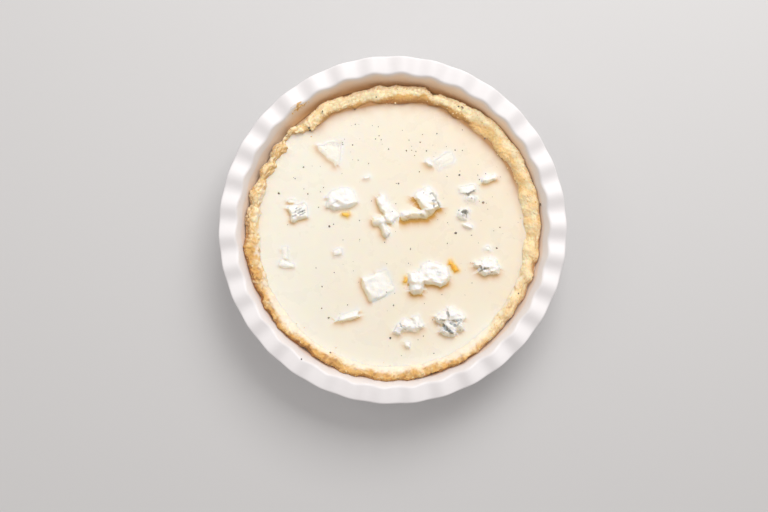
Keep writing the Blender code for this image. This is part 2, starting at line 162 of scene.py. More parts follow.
def bandSum(band, rows):
    # bands added up, each given as its two angles, its fade and its strength
    return sum(strength * band(start, end, fade) for start, end, fade, strength in rows)


def softNoise(points, size):
    return np.array([noise.noise(Vector(point) / size) for point in points])


def grains(points, size):
    # rounded grains of uneven height with creases between them, from 0 to 1
    heights = np.empty(len(points))
    for number, point in enumerate(points):
        place = Vector(point) / size
        place += 0.55 * noise.noise_vector(place * 1.3)
        distances, middles = noise.voronoi(place)
        border = min((distances[1] - distances[0]) / 0.55, 1)
        heights[number] = (2 * border - border * border) * (0.6 + 0.4 * noise.cell(middles[0] * 7.1))
    return heights


def flatTree(points):
    # finds the nearest of these points as seen from above
    tree = kdtree.KDTree(len(points))
    for number, (x, y, z) in enumerate(points):
        tree.insert((x, y, 0), number)
    tree.balance()
    return tree


def distanceTo(tree, points):
    return np.array([tree.find((x, y, 0))[2] for x, y in points[:, :2]])


def roughen(obj, size, height, depth=2):
    texture = bpy.data.textures.new(obj.name + "Clouds", "CLOUDS")
    texture.noise_scale = size
    texture.noise_depth = depth
    applyNew(obj, "DISPLACE", texture=texture, strength=height, texture_coords="LOCAL")


def selectFaces(obj, test):
    # selects the faces whose middle passes the test, and leaves edit mode on
    onlySelect(obj)
    editMode()
    bpy.ops.mesh.select_mode(type="FACE")
    pickAll("DESELECT")
    objectMode()
    middles = np.empty(len(obj.data.polygons) * 3, np.float32)
    obj.data.polygons.foreach_get("center", middles)
    obj.data.polygons.foreach_set("select", test(middles.reshape(-1, 3)))
    editMode()


def finishPiece(obj, material, slot, *nodes):
    obj.data.materials.append(material)
    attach(obj, "root")
    if nodes:
        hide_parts(*nodes)


# material tools

def plug(tree, socket, value):
    # links what another node gives, or sets a plain value
    if isinstance(value, bpy.types.NodeSocket):
        tree.links.new(value, socket)
    else:
        socket.default_value = value


def addNode(tree, kind, inputs=None, **settings):
    node = tree.nodes.new(kind)
    for name, value in settings.items():
        setattr(node, name, value)
    for name, value in (inputs or {}).items():
        plug(tree, node.inputs[name], value)
    return node


def mathNode(tree, operation, first, second):
    return addNode(tree, "ShaderNodeMath", {0: first, 1: second}, operation=operation).outputs[0]


def times(tree, first, second):
    return mathNode(tree, "MULTIPLY", first, second)


def fromTo(tree, value, low, high, start=0.0, end=1.0):
    limits = {"Value": value, "From Min": low, "From Max": high, "To Min": start, "To Max": end}
    return addNode(tree, "ShaderNodeMapRange", limits, interpolation_type="SMOOTHSTEP").outputs["Result"]


def layered(tree, colour, *layers):
    # lays colours over each other, each through a mask at a strength
    for layerMask, strength, over in layers:
        if strength != 1:
            layerMask = times(tree, layerMask, strength)
        mix = addNode(tree, "ShaderNodeMix", {0: layerMask, 6: colour, 7: over}, data_type="RGBA")
        colour = mix.outputs[2]
    return colour


def newGroup(name, inputs, output):
    tree = bpy.data.node_groups.new(name, "ShaderNodeTree")
    for socketName, value in inputs.items():
        socket = tree.interface.new_socket(socketName, in_out="INPUT", socket_type="NodeSocketFloat")
        socket.default_value = value
    tree.interface.new_socket(output, in_out="OUTPUT", socket_type="NodeSocketFloat")
    given, result = addNode(tree, "NodeGroupInput"), addNode(tree, "NodeGroupOutput")
    place = addNode(tree, "ShaderNodeTexCoord").outputs["Object"]
    scale = mathNode(tree, "DIVIDE", 1.0, given.outputs["Size"])
    return tree, given.outputs, result.inputs[output], place, scale


def makeUnevenTone():
    # a soft mask of patches, from 0 to 1
    sockets = {"Size": 0.01, "Low": 0.4, "High": 0.6}
    tree, given, result, place, scale = newGroup("unevenTone", sockets, "Mask")
    pattern = addNode(tree, "ShaderNodeTexNoise", {"Vector": place, "Scale": scale, "Detail": 4.0})
    plug(tree, result, fromTo(tree, pattern.outputs["Fac"], given["Low"], given["High"]))
    return tree


def makeGrain():
    # the height of a crumbly surface: grains of one size with finer ones between them
    tree, given, result, place, scale = newGroup("grain", {"Size": 0.001}, "Height")
    cells = addNode(tree, "ShaderNodeTexVoronoi", {"Vector": place, "Scale": scale}, feature="SMOOTH_F1")
    finer = addNode(tree, "ShaderNodeTexNoise",
                    {"Vector": place, "Scale": times(tree, scale, 2.3), "Detail": 3.0})
    raised = mathNode(tree, "SUBTRACT", 1.0, cells.outputs["Distance"])
    plug(tree, result, mathNode(tree, "ADD", raised, finer.outputs["Fac"]))
    return tree


def makeCreamFoot():
    # 1 where cream has wetted a thing that stands in the custard, 0 above
    sockets = {"Reach": 0.001, "Wobble": 0.001, "Size": 0.004}
    tree, given, result, place, scale = newGroup("creamFoot", sockets, "Mask")
    height = addNode(tree, "ShaderNodeSeparateXYZ", {"Vector": place}).outputs["Z"]
    above = mathNode(tree, "SUBTRACT", height, custard["level"])
    pattern = addNode(tree, "ShaderNodeTexNoise", {"Vector": place, "Scale": scale, "Detail": 3.0})
    wobble = times(tree, mathNode(tree, "SUBTRACT", pattern.outputs["Fac"], 0.5), given["Wobble"])
    edge = mathNode(tree, "ADD", given["Reach"], times(tree, wobble, 2.0))
    over = mathNode(tree, "SUBTRACT", above, edge)
    plug(tree, result, fromTo(tree, over, -0.25 * mm, 0.35 * mm, 1.0, 0.0))
    return tree


def useGroup(tree, group, **inputs):
    return addNode(tree, "ShaderNodeGroup", inputs, node_tree=group).outputs[0]


def patches(tree, size, low, high):
    return useGroup(tree, unevenTone, Size=size * mm, Low=low, High=high)


def mask(tree, name):
    return addNode(tree, "ShaderNodeAttribute", attribute_name=name).outputs["Fac"]


def newMaterial(name, **sockets):
    material = bpy.data.materials.new(name)
    material.use_nodes = True
    shader = material.node_tree.nodes["Principled BSDF"]
    for socketName, value in sockets.items():
        shader.inputs[socketName.replace("_", " ")].default_value = value
    return material, material.node_tree


def setSurface(tree, colour, height, strength, distance, roughness=None):
    # a material's colour, its relief and, where it varies, its roughness
    shader = tree.nodes["Principled BSDF"]
    bump = addNode(tree, "ShaderNodeBump", {"Height": height, "Strength": strength, "Distance": distance})
    plug(tree, shader.inputs["Base Color"], colour)
    plug(tree, shader.inputs["Normal"], bump.outputs["Normal"])
    if roughness:
        plug(tree, shader.inputs["Roughness"], roughness)


# the custard's level and edge, which the other pieces are set against

custard = {
    "level": 31 * mm,
    "widest": 104.5 * mm,       # the widest radius of its edge
    "spacing": 0.95 * mm,
    "finer": (3 * mm, 3.2 * mm),    # its mesh is finer this near the pastry, and this near the toppings
    "overlap": 2.6 * mm,        # how far the surface runs on under the pastry
    "insideOuter": 1.2 * mm,    # and how far inside the pastry's outer edge it stays
    "rimCurl": 0.7 * mm,        # how high it climbs at the pastry
    "rimReach": 1.3 * mm,
    "lumpCurl": 0.4 * mm,
    "lumpReach": 0.8 * mm,
    "waves": 0.07 * mm,
    "waveSizes": (22 * mm, 8 * mm),
    "floor": 9.6 * mm,
    "floorShare": 0.92,         # its width at the floor, as a share of that on top
    "colour": (0.965, 0.902, 0.80, 1),
    "richColour": (0.932, 0.833, 0.69, 1),  # random richer patches, and painted shade towards the right
    "richens": (-90 * mm, 70 * mm),
    "coatReach": 11 * mm,                   # how far out the tints of coated pastry and bits reach, and the painted glow round the lumps
    "lumpTint": 1.5 * mm,
    "bitTint": 0.9 * mm,
    "edgeColour": (0.52, 0.29, 0.13, 1),    # painted shade and reflected pastry colour on the custard beside the pastry
    "fat": (0.66, 0.375, 0.10, 1),          # painted shadow on the custard, on the toppings' shaded side
    "roughness": (0.26, 0.36),
}


# The pastry's edge by angle in degrees: its outer radius, the height of its crest, the radius of the ridge
# where its inner slope begins, and the radius where the custard meets it, all in millimetres.
pastryEdge = (
    (0, 108.3, 36.2, 101.7, 95.7), (6, 109.0, 36.2, 101.7, 96.0), (10, 109.7, 36.4, 102.4, 96.0),
    (16, 110.1, 36.4, 102.0, 96.4), (22, 109.0, 36.2, 101.7, 96.4), (30, 108.3, 36.0, 101.2, 96.4),
    (38, 109.0, 36.0, 101.7, 95.2), (44, 109.7, 36.0, 102.4, 94.6), (50, 108.6, 35.8, 100.9, 94.2),
    (53, 108.3, 35.8, 99.5, 94.2), (56.5, 107.5, 35.8, 97.7, 94.2), (60, 106.8, 35.6, 100.2, 94.6),
    (65, 106.4, 35.5, 99.5, 95.0), (70, 105.3, 35.3, 99.5, 96.4), (72, 103.5, 34.6, 98.8, 96.4),
    (73.5, 103.1, 34.4, 99.5, 96.0), (75, 106.1, 35.6, 100.9, 95.7), (77, 107.5, 36.0, 101.3, 95.5),
    (80, 106.2, 35.4, 99.5, 95.0), (85, 106.8, 35.4, 99.0, 94.2), (90, 106.4, 35.4, 98.5, 93.5),
    (97, 105.7, 35.2, 98.0, 93.2), (103, 105.0, 35.1, 98.5, 93.2), (107, 104.4, 35.0, 98.5, 93.5),
    (111, 105.3, 35.2, 97.8, 94.5), (115, 106.1, 35.3, 99.0, 95.2), (119, 106.4, 35.3, 99.8, 95.5),
    (122, 105.8, 35.1, 98.8, 95.0), (124.5, 104.5, 35.3, 95.1, 93.3), (127, 103.3, 35.3, 94.4, 92.9),
    (128.8, 102.8, 34.5, 95.1, 93.5), (130.2, 102.7, 34.0, 98.0, 95.3), (132, 103.5, 34.6, 98.8, 97.2),
    (135, 106.4, 35.6, 101.7, 100.1), (137, 105.3, 35.0, 103.1, 102.1), (139, 104.8, 32.6, 103.4, 102.2),
    (140.5, 104.8, 33.0, 103.7, 102.9), (141.6, 105.3, 34.5, 99.4, 97.2), (143.5, 106.8, 35.6, 100.4, 96.9),
    (145, 107.0, 35.8, 101.0, 97.8), (147, 105.8, 35.4, 101.0, 98.4), (149.4, 104.6, 33.6, 101.8, 99.6),
    (151, 104.6, 34.8, 99.2, 96.6), (153, 106.0, 35.8, 99.9, 97.0), (155.5, 107.3, 36.0, 100.8, 98.0),
    (158, 105.3, 34.2, 101.8, 99.8), (160.5, 106.4, 35.4, 100.0, 97.2), (163, 108.0, 36.2, 101.0, 97.4),
    (166, 109.2, 36.8, 101.2, 97.4), (169.5, 106.4, 35.6, 101.0, 98.0), (172, 107.5, 36.4, 100.4, 97.2),
    (175.5, 108.3, 36.9, 101.0, 97.2), (180, 107.5, 36.6, 100.6, 97.5), (183.5, 108.6, 37.0, 99.5, 96.8),
    (187, 110.6, 37.7, 103.1, 97.9), (190, 110.9, 37.8, 102.8, 98.7), (194.5, 109.0, 37.2, 102.8, 98.7),
    (197, 109.4, 37.4, 101.7, 97.9), (200, 110.1, 37.7, 104.2, 98.7), (204, 109.4, 37.5, 103.5, 98.7),
    (207, 108.5, 37.3, 103.1, 98.7), (208.3, 110.8, 37.9, 103.9, 98.7), (212, 111.0, 38.0, 104.6, 98.7),
    (215.5, 109.6, 37.5, 105.0, 98.7), (220, 111.2, 38.1, 105.7, 98.7), (225, 111.0, 38.0, 105.5, 99.0),
    (230, 108.6, 37.5, 103.1, 99.4), (233.5, 106.9, 37.2, 102.8, 99.6), (237, 109.4, 37.8, 104.2, 99.7),
    (243, 110.5, 38.1, 102.0, 99.7), (249, 110.5, 38.2, 103.5, 99.9), (254, 111.3, 38.4, 104.4, 100.1),
    (259, 109.9, 38.0, 103.5, 100.1), (265, 111.7, 38.5, 104.7, 100.1), (272, 111.9, 38.5, 104.6, 100.1),
    (280, 111.0, 38.3, 103.3, 100.1), (286, 110.3, 38.2, 103.1, 99.9), (292, 110.5, 38.1, 104.6, 99.8),
    (300, 109.9, 37.7, 105.3, 99.4), (306, 109.6, 37.4, 104.6, 99.0), (312, 108.9, 37.0, 103.9, 99.0),
    (317, 107.4, 36.4, 101.7, 98.5), (321, 107.0, 36.3, 101.7, 98.5), (326, 107.9, 36.6, 101.3, 98.3),
    (330, 108.3, 36.7, 100.6, 98.0), (333.5, 107.4, 36.3, 102.4, 98.0), (338, 107.5, 36.4, 101.3, 97.9),
    (342, 109.7, 36.9, 102.4, 97.5), (346.5, 107.8, 36.2, 100.9, 97.2), (351, 109.4, 36.6, 101.3, 97.2),
    (356, 108.6, 36.3, 101.7, 96.4))


def edgeAt(points):
    # outer radius, crest height, ridge radius and custard radius at each point's angle
    table = np.array(pastryEdge)
    turn = np.degrees(np.arctan2(points[:, 1], points[:, 0]))
    return [np.interp(turn, table[:, 0], table[:, column], period=360) * mm for column in (1, 2, 3, 4)]


def insideEdge(points):
    # how far inside the custard's edge each point lies
    return edgeAt(points)[3] - radiusOf(points)


def insideOverlap(points):
    # the same for the part of its surface that runs on under the pastry
    outer, crest, ridge, water = edgeAt(points)
    return np.minimum(water + custard["overlap"], outer - custard["insideOuter"]) - radiusOf(points)


unevenTone = makeUnevenTone()
grain = makeGrain()
creamFoot = makeCreamFoot()


# the dish

dish = {
    "radius": 125.97 * mm,
    "wall": 5 * mm,
    "floor": 5 * mm,
    "flangeLevel": 44.5 * mm,
    "flangeThickness": 4.6 * mm,
    "mouthRadius": 113.5 * mm,
    "slope": 0.36,
    "floorCorner": 8 * mm,
    "footInner": 93 * mm,
    "footRound": 0.6 * mm,
    "footRecess": 1.5 * mm,
    "ruffles": 34,
    "ruffleHeight": 1.48 * mm,
    "ruffleStart": math.radians(1.8),
    "ruffleFade": 9 * mm,
    "stepsPerRuffle": 12,
    "glaze": (0.87, 0.85, 0.86, 1),
    "thinGlaze": (0.81, 0.775, 0.785, 1),
    "bareClay": (0.72, 0.62, 0.51, 1),
    # a butter film, with painted warm shade and reflected pastry colour, on the back wall
    "butter": (0.95, 0.755, 0.58, 1),
    # painted warm shade low on the wall, in the gap beside the pastry
    "juice": (0.92, 0.64, 0.38, 1),
    "smear": (0.70, 0.42, 0.16, 1),
    # where these tint the inside of the wall: two angles and a fade, and the heights they grow between
    "butterBand": (26, 137, 13),
    "butterHeights": (44.4 * mm, 40 * mm),
    "juiceHeights": (39 * mm, 27 * mm),
    "lowJuice": (0.35, 37.2 * mm, 34.5 * mm),       # all round, at this strength
    "smearBand": (123.75, 130.25, 3.25),
    "smearHeights": (36 * mm, 38 * mm),
}


def wallRadius(height):
    return dish["mouthRadius"] - dish["slope"] * (dish["flangeLevel"] - height)


def arcPoints(centreR, centreZ, radius, start, end, steps):
    angles = np.radians(np.linspace(start, end, steps + 1))
    return [(centreR + radius * math.cos(a), centreZ + radius * math.sin(a)) for a in angles]


def dishOutline():
    lean = math.degrees(math.atan(dish["slope"]))
    cosLean, sinLean = math.cos(math.radians(lean)), math.sin(math.radians(lean))
    level, corner, foot = dish["flangeLevel"], dish["floorCorner"], dish["footRound"]
    edge, lip, knee, heel = 2.2 * mm, 1.3 * mm, 3 * mm, 4 * mm
    underLip = dish["flangeThickness"] - lip
    outside = dish["wall"] / cosLean
    cornerZ = dish["floor"] + corner
    kneeZ = level - dish["flangeThickness"] - knee
    points = [(0, dish["floor"])]
    points += arcPoints(wallRadius(cornerZ) - corner / cosLean, cornerZ, corner, -90, -lean, 6)
    points += [(wallRadius(z * mm), z * mm) for z in (22, 28, 31, 33, 35, 37, 39)]
    points += arcPoints(dish["mouthRadius"] + edge * (1 - sinLean) / cosLean, level - edge, edge,
                        180 - lean, 90, 7)
    points += [(118 * mm, level), (121 * mm, level)]
    points += arcPoints(dish["radius"] - lip, level - lip, lip, 90, 0, 6)
    points += arcPoints(dish["radius"] - underLip, level - lip, underLip, -10, -90, 7)
    points += arcPoints(wallRadius(kneeZ) + outside + knee / cosLean, kneeZ, knee, 90, 180 - lean, 4)
    points += [(wallRadius(z * mm) + outside, z * mm) for z in (34, 31, 26, 15)]
    points += arcPoints(wallRadius(0) + outside - heel * (1 - sinLean) / cosLean, heel, heel, -lean, -90, 5)
    points += arcPoints(dish["footInner"] + foot, foot, foot, -90, -150, 2)
    return points + [(dish["footInner"] - 2 * foot, dish["footRecess"]), (0, dish["footRecess"])]


def spunPiece(name, outline, steps):
    # a closed round piece, turned from half its section
    deselectObjects()
    bpy.ops.mesh.primitive_plane_add(size=mm)
    piece = newPiece(name)
    editMode()
    bpy.ops.mesh.merge(type="CENTER")
    last = Vector()
    for number, (radius, height) in enumerate(outline):
        place = Vector((radius, 0, height))
        if number == 0:
            bpy.ops.transform.translate(value=place - last)
        else:
            bpy.ops.mesh.extrude_vertices_move(TRANSFORM_OT_translate={"value": place - last})
        last = place
    pickAll()
    bpy.ops.mesh.spin(steps=steps, angle=math.tau, center=(0, 0, 0), axis=(0, 0, 1))
    pickAll()
    bpy.ops.mesh.remove_doubles(threshold=sameSpot)
    bpy.ops.mesh.normals_make_consistent(inside=False)
    objectMode()
    return piece


def makeDish():
    piece = spunPiece("pieDish", dishOutline(), dish["ruffles"] * dish["stepsPerRuffle"])
    points = getPoints(piece)
    radius, height, band = radiusOf(points), points[:, 2], bandsOf(points)
    angle = np.arctan2(points[:, 1], points[:, 0])
    under = dish["flangeLevel"] - dish["flangeThickness"]
    share = blendStep(under - dish["ruffleFade"], under, height)
    wave = np.cos(dish["ruffles"] * (angle - dish["ruffleStart"]))
    rise = share * dish["ruffleHeight"] * wave
    towardsWall = np.clip((dish["radius"] - radius) / (dish["radius"] - dish["mouthRadius"]), 0, 1)
    moved = radius + rise * dish["slope"] * towardsWall
    # a butter film and painted warm shade darken the inside of the wall, most near the pastry and at the
    # back, which faces away from the light; painted warm shade also darkens it low down beside the pastry
    # all round
    nearWall, footHeight, insideFoot = 1.5 * mm, 0.35 * mm, 3 * mm
    inner = (radius < wallRadius(height) + nearWall) & (height > dish["floor"] - mm)
    back = band(*dish["butterBand"])
    strength, *heights = dish["lowJuice"]
    # painted warm shade low on the wall at the back, and all round beside the pastry
    juice = np.maximum(back * blendStep(*dish["juiceHeights"], height),
                       strength * blendStep(*heights, height))
    setMasks(piece, crest=share * np.clip(wave, 0, 1), juice=inner * juice,
             bare=(height < footHeight) & (radius > dish["footInner"] - insideFoot),
             butter=inner * blendStep(*dish["butterHeights"], height) * back,
             smear=inner * band(*dish["smearBand"]) * blendStep(*dish["smearHeights"], height))
    setPoints(piece, np.stack((moved * np.cos(angle), moved * np.sin(angle), height + rise), 1))
    shade(piece, 50)
    return piece


def makeGlaze():
    material, tree = newMaterial("whiteGlaze", IOR=1.42)
    bare = mask(tree, "bare")
    butter = times(tree, mask(tree, "butter"), fromTo(tree, patches(tree, 6, 0.25, 0.6), 0, 1, 0.75, 1.0))
    streaky = mathNode(tree, "ADD", mask(tree, "smear"), patches(tree, 2.6, 0.3, 0.8))
    colour = layered(tree, dish["glaze"],
                     (patches(tree, 28, 0.35, 0.7), 0.35, dish["thinGlaze"]),
                     (mask(tree, "crest"), 0.35, dish["glaze"]),
                     (patches(tree, 1.1, 0.735, 0.76), 0.35, dish["bareClay"]),     # pits
                     (bare, 1, dish["bareClay"]),
                     # a butter film with painted warm shade on the back wall
                     (butter, 1, dish["butter"]),
                     # painted warm shade low on the wall beside the pastry
                     (mask(tree, "juice"), 1, dish["juice"]),
                     (fromTo(tree, streaky, 1.0, 1.45), 1, dish["smear"]))
    ripple = patches(tree, 7, 0.2, 0.8)
    setSurface(tree, colour, ripple, 0.35, 0.25 * mm, fromTo(tree, bare, 0, 1, 0.45, 0.75))
    return material


dishPiece = makeDish()
finishPiece(dishPiece, makeGlaze(), "glaze", "dish")
print("dish: %d faces" % len(dishPiece.data.polygons))


# the pastry case

# Bands of the edge are given as two angles, a fade and a strength.
pastry = {
    "floor": (5.3 * mm, 9.3 * mm),
    "foot": 93.5 * mm,
    "leansAbove": 24 * mm,
    "dishGap": 0.3 * mm,
    "steps": 1200,
    "swell": (9 * mm, 2.2 * mm),          # size and height of the uneven swell
    "nodules": (5.0 * mm, 1.45 * mm),
    "crumbs": (2.1 * mm, 0.7 * mm),
    "wallGap": 0.35 * mm,
    "smoothPart": (300, 486, 10),         # the right and the back
    "lumpyPart": (130, 212, 6),           # the left, where the crumbs are finer
    "edgeShift": ((74, 91, 3, 1.0), (92, 122, 6, -1.7)),       # of the inner slope's colour, in millimetres
    "slopeGold": ((22, 48, 8, 0.15), (48, 127, 8, 1.0), (127, 156, 2, 0.15)),
    "slopeAmber": ((345, 382, 8, 0.3), (18, 54, 7, 1.0), (112, 127, 4, 0.4)),
    # painted shade at the back, where the inner slope meets the custard
    "footBrown": ((52, 127, 10, 0.9), (72, 96, 5, 0.35)),
    "pale": (1.0, 0.865, 0.58, 1),
    "gold": (0.78, 0.47, 0.16, 1),
    "amber": (1.0, 0.66, 0.29, 1),
    "brown": (0.37, 0.135, 0.045, 1),
    "cream": (0.965, 0.895, 0.765, 1),
    "floury": (0.98, 0.88, 0.64, 1),
}


def rimSpread():
    # shares of the rim's ten set points that make each point of its section: straight up to the custard's
    # level, and from there on a smooth curve
    rows = []
    for start, count in ((0, 4), (1, 3)):
        for t in np.arange(count) / count:
            row = [0.0] * 10
            row[start], row[start + 1] = 1 - t, t
            rows.append(row)
    for start, count in ((2, 9), (3, 9), (4, 7), (5, 5), (6, 5), (7, 5), (8, 5)):
        for t in np.arange(count) / count:
            row = [0.0] * 10
            shares = ((-t + 2 * t * t - t ** 3) / 2, (2 - 5 * t * t + 3 * t ** 3) / 2,
                      (t + 4 * t * t - 3 * t ** 3) / 2, (t ** 3 - t * t) / 2)
            for offset, share in zip((-1, 0, 1, 2), shares):
                row[min(start + offset, 9)] += share
            rows.append(row)
    rows.append([0] * 9 + [1])
    return np.array(rows)


def rimPlaces(points):
    # the ten set points of the rim at each point's angle, as radii and heights
    outer, crest, ridge, water = edgeAt(points)
    level, rise = custard["level"], crest - custard["level"]
    same = np.ones(len(points))
    # its shoulder is rounder where it leans on the dish, all round but at the back
    soft = 1 - bandsOf(points)(22, 132, 8)
    radii = (pastry["foot"] * same - 1 * mm, water - 1.2 * mm, water, water + 0.42 * (ridge - water), ridge,
             (ridge + outer) / 2, outer - (1.3 + 0.9 * soft) * mm, outer, outer - (0.8 - 0.6 * soft) * mm,
             (wallRadius(pastry["leansAbove"]) - pastry["dishGap"]) * same)
    heights = (pastry["floor"][1] * same, (level - 3 * mm) * same, level * same, level + 0.5 * rise,
               crest - 0.15 * rise, crest, crest - (0.7 + 0.2 * soft) * mm, crest - (2.4 + 1.7 * soft) * mm,
               crest - 6 * mm, pastry["leansAbove"] * same)
    return np.stack(radii, 1), np.stack(heights, 1)


def makePastry():
    spread = rimSpread()
    radii, heights = rimPlaces(np.array([(1.0, 0, 0)]))
    rim = np.stack((spread @ radii[0], spread @ heights[0]), 1)
    under, corner, gap, knee = pastry["floor"][0], dish["floorCorner"], pastry["dishGap"], 17 * mm
    outline = [(0, pastry["floor"][1]), *rim.tolist(), (wallRadius(knee) - gap, knee)]
    bend = arcPoints(wallRadius(under + corner) - corner, under + corner, corner - gap, -90, -20, 4)
    piece = spunPiece("pastryCase", [*outline, *reversed(bend), (0, under)], pastry["steps"])
    points = getPoints(piece)
    radius, angle = radiusOf(points), np.arctan2(points[:, 1], points[:, 0])
    gaps = np.abs(radius[:, None] - rim[:, 0]) + np.abs(points[:, 2, None] - rim[:, 1])
    place, onRim = gaps.argmin(1), gaps.min(1) < 0.02 * mm
    radii, heights = rimPlaces(points)
    newRadius = np.where(onRim, (spread[place] * radii).sum(1), radius)
    newHeight = np.where(onRim, (spread[place] * heights).sum(1), points[:, 2])
    points = np.stack((newRadius * np.cos(angle), newRadius * np.sin(angle), newHeight), 1)
    setPoints(piece, points)
    # loose crumbly parts, and the inner slope that cream has coated
    share = place / (len(rim) - 1)
    coat, band = creamCoat(points), bandsOf(points)
    loose = onRim * blendStep(0.10, 0.17, share) * (1 - blendStep(0.80, 0.97, share)) * (1 - 0.75 * coat)
    even, normals = getPoints(piece), getNormals(piece)
    near = loose > 0
    smooth, lumpy = band(*pastry["smoothPart"])[near], band(*pastry["lumpyPart"])[near]
    relief = np.zeros(len(points))
    for name, lessSmooth, lessLumpy in (("nodules", 0.6, 0), ("crumbs", 0.25, 0.5)):
        size, height = pastry[name]
        strength = (1 - lessSmooth * smooth - lessLumpy * lumpy) * height
        relief[near] += strength * (grains(even[near], size) - 0.45)
    relief *= loose
    size, height = pastry["swell"]
    swell = loose * height * softNoise(even, size) * (1 - 0.6 * band(128, 178, 5))
    points = even + normals * (relief + swell)[:, None]
    radius = np.maximum(radiusOf(points), mm)
    limit = wallRadius(points[:, 2]) - pastry["wallGap"]
    points[:, :2] *= np.minimum(1, limit / radius)[:, None]
    setPoints(piece, points)
    away = -(getNormals(piece)[:, :2] * points[:, :2]).sum(1) / radius
    gold, amber, brown = bakedAt(even)
    # at the back left the lumps' inner sides are painted the brownest, as shade on the sides that face away
    # from the light
    inner = bandsOf(points)(130, 172, 4) * onRim * blendStep(0.25, 0.75, away)
    setMasks(piece, relief=relief / mm, gold=gold + 0.55 * inner, amber=amber,
             brown=np.maximum(brown, 0.2 * inner), coat=coat)
    shade(piece)
    return piece


def creamCoat(points):
    # 1 where cream covers the inner slope, which it does at the left and front up to the ridge
    band = bandsOf(points)
    ragged = 1.7 * mm * softNoise(points, 4.5 * mm) + 0.9 * mm * softNoise(points, 1.5 * mm)
    slope = 1 - blendStep(-2.8 * mm, 1.1 * mm, radiusOf(points) - (edgeAt(points)[2] + ragged))
    patchy = 0.75 * band(160, 350, 8) * blendStep(-0.25, 0.35, softNoise(points, 3.6 * mm))
    above = points[:, 2] - custard["level"] - 0.8 * mm * softNoise(points, 2 * mm)
    foot = (0.85 - 0.75 * band(10, 127, 10) - 0.4 * band(127, 190, 4)) * (1 - blendStep(0, 1.1 * mm, above))
    return np.maximum(slope * np.maximum(0.93 * band(203, 318, 10), patchy), foot)


def bakedAt(points):
    # how golden, how yellow brown and how brown each place is: the oven's browning, with painted shade low
    # on the back's inner slope, on the outer edge and in the gap by the dish, and painted light on the
    # right's inner slope
    radius, band = radiusOf(points), bandsOf(points)
    outer, crest, ridge, water = edgeAt(points)
    uneven, fine = softNoise(points, 5 * mm), softNoise(points, 1.8 * mm)
    spots = blendStep(0.12, 0.5, softNoise(points, 2.6 * mm))
    past = radius - (ridge + (0.9 * uneven + 0.5 * fine + bandSum(band, pastry["edgeShift"])) * mm)
    slope = 1 - blendStep(-1.6 * mm, 1.2 * mm, past)
    outwards = blendStep(-2 * mm, 4.5 * mm, past)
    front, right, back, left = band(184, 305, 8), band(305, 384, 9), band(22, 127, 6), band(186, 236, 6)
    gold = slope * bandSum(band, pastry["slopeGold"]) + 0.12 * fine
    gold += band(138, 158, 4) * (0.08 + 0.15 * outwards)
    gold += band(158, 186, 6) * (0.45 * outwards - 0.1 + 0.35 * uneven)
    gold += front * (0.6 + 0.45 * outwards + 0.9 * uneven) + right * (0.14 + 0.2 * outwards + 0.5 * uneven)
    # the right side's inner slope is a wider yellow brown, painted brighter than the shade it lies in
    wider = 1 - blendStep(-1.6 * mm, 2 * mm, past - 1.3 * mm)
    amber = wider * bandSum(band, pastry["slopeAmber"]) * (0.9 + 0.8 * uneven)
    # the outer edge and the outer side below the crest: browned pastry, darkened further by painted shade in
    # the gap by the dish
    rim = blendStep(-3.4 * mm, -0.9 * mm, radius - outer + 2.4 * mm * fine)
    below = 1 - blendStep(-3.6 * mm, -1.8 * mm, points[:, 2] - crest)
    outside = blendStep(0, 1 * mm, radius - (ridge + outer) / 2)
    # painted shade at the back, where the inner slope meets the custard
    foot = slope * back * (1 - blendStep(0, 5.6 * mm, radius - water + 0.8 * mm * uneven))
    side = band(172, 305, 8) * (0.36 + 0.22 * spots + 0.3 * left)
    browns = ((0.68 - 0.3 * back - 0.4 * band(127, 184, 5)) * below * outside,
              0.58 * (0.1 + bandSum(band, pastry["footBrown"])) * foot,
              rim * (0.1 + 0.32 * band(72, 112, 8) + side),
              0.42 * spots * band(296, 356, 7) * blendStep(-0.1, 0.3, uneven),
              (0.05 + 0.45 * spots) * front)
    return np.clip(gold, 0, 1.2), np.clip(amber, 0, 1), np.clip(np.max(browns, 0), 0, 1)


def makePastryMaterial():
    material, tree = newMaterial("bakedPastry", IOR=1.42, Subsurface_Weight=0.35,
                                 Subsurface_Radius=(1.0, 0.55, 0.25), Subsurface_Scale=1.5 * mm)
    cream = mask(tree, "coat")
    gold = mathNode(tree, "ADD", mask(tree, "gold"), times(tree, patches(tree, 5, 0.38, 0.66), 0.14))
    floury = times(tree, patches(tree, 1.3, 0.45, 0.68), fromTo(tree, gold, 0.3, 1.1, 0.28, 0.06))
    colour = layered(tree, pastry["pale"],
                     (gold, 1, pastry["gold"]),
                     (mask(tree, "amber"), 1, pastry["amber"]),
                     (floury, 1, pastry["floury"]),
                     # painted shade: gold in the hollows of the crumbly relief
                     (fromTo(tree, mask(tree, "relief"), -0.05, -0.7), 0.65, pastry["gold"]),
                     # browned pastry, with painted shade at the outer edge, in the gap by the dish and low
                     # on the back's inner slope
                     (mask(tree, "brown"), 1, pastry["brown"]),
                     (cream, 0.92, pastry["cream"]))
    height = times(tree, useGroup(tree, grain, Size=0.8 * mm), fromTo(tree, cream, 0, 1, 1.0, 0.15))
    setSurface(tree, colour, height, 0.4, 0.3 * mm, fromTo(tree, cream, 0, 1, 0.82, 0.34))
    return material


pastryPiece = makePastry()
finishPiece(pastryPiece, makePastryMaterial(), "pastry", "crust")
print("pastry: %d faces" % len(pastryPiece.data.polygons))


# cheese and pumpkin

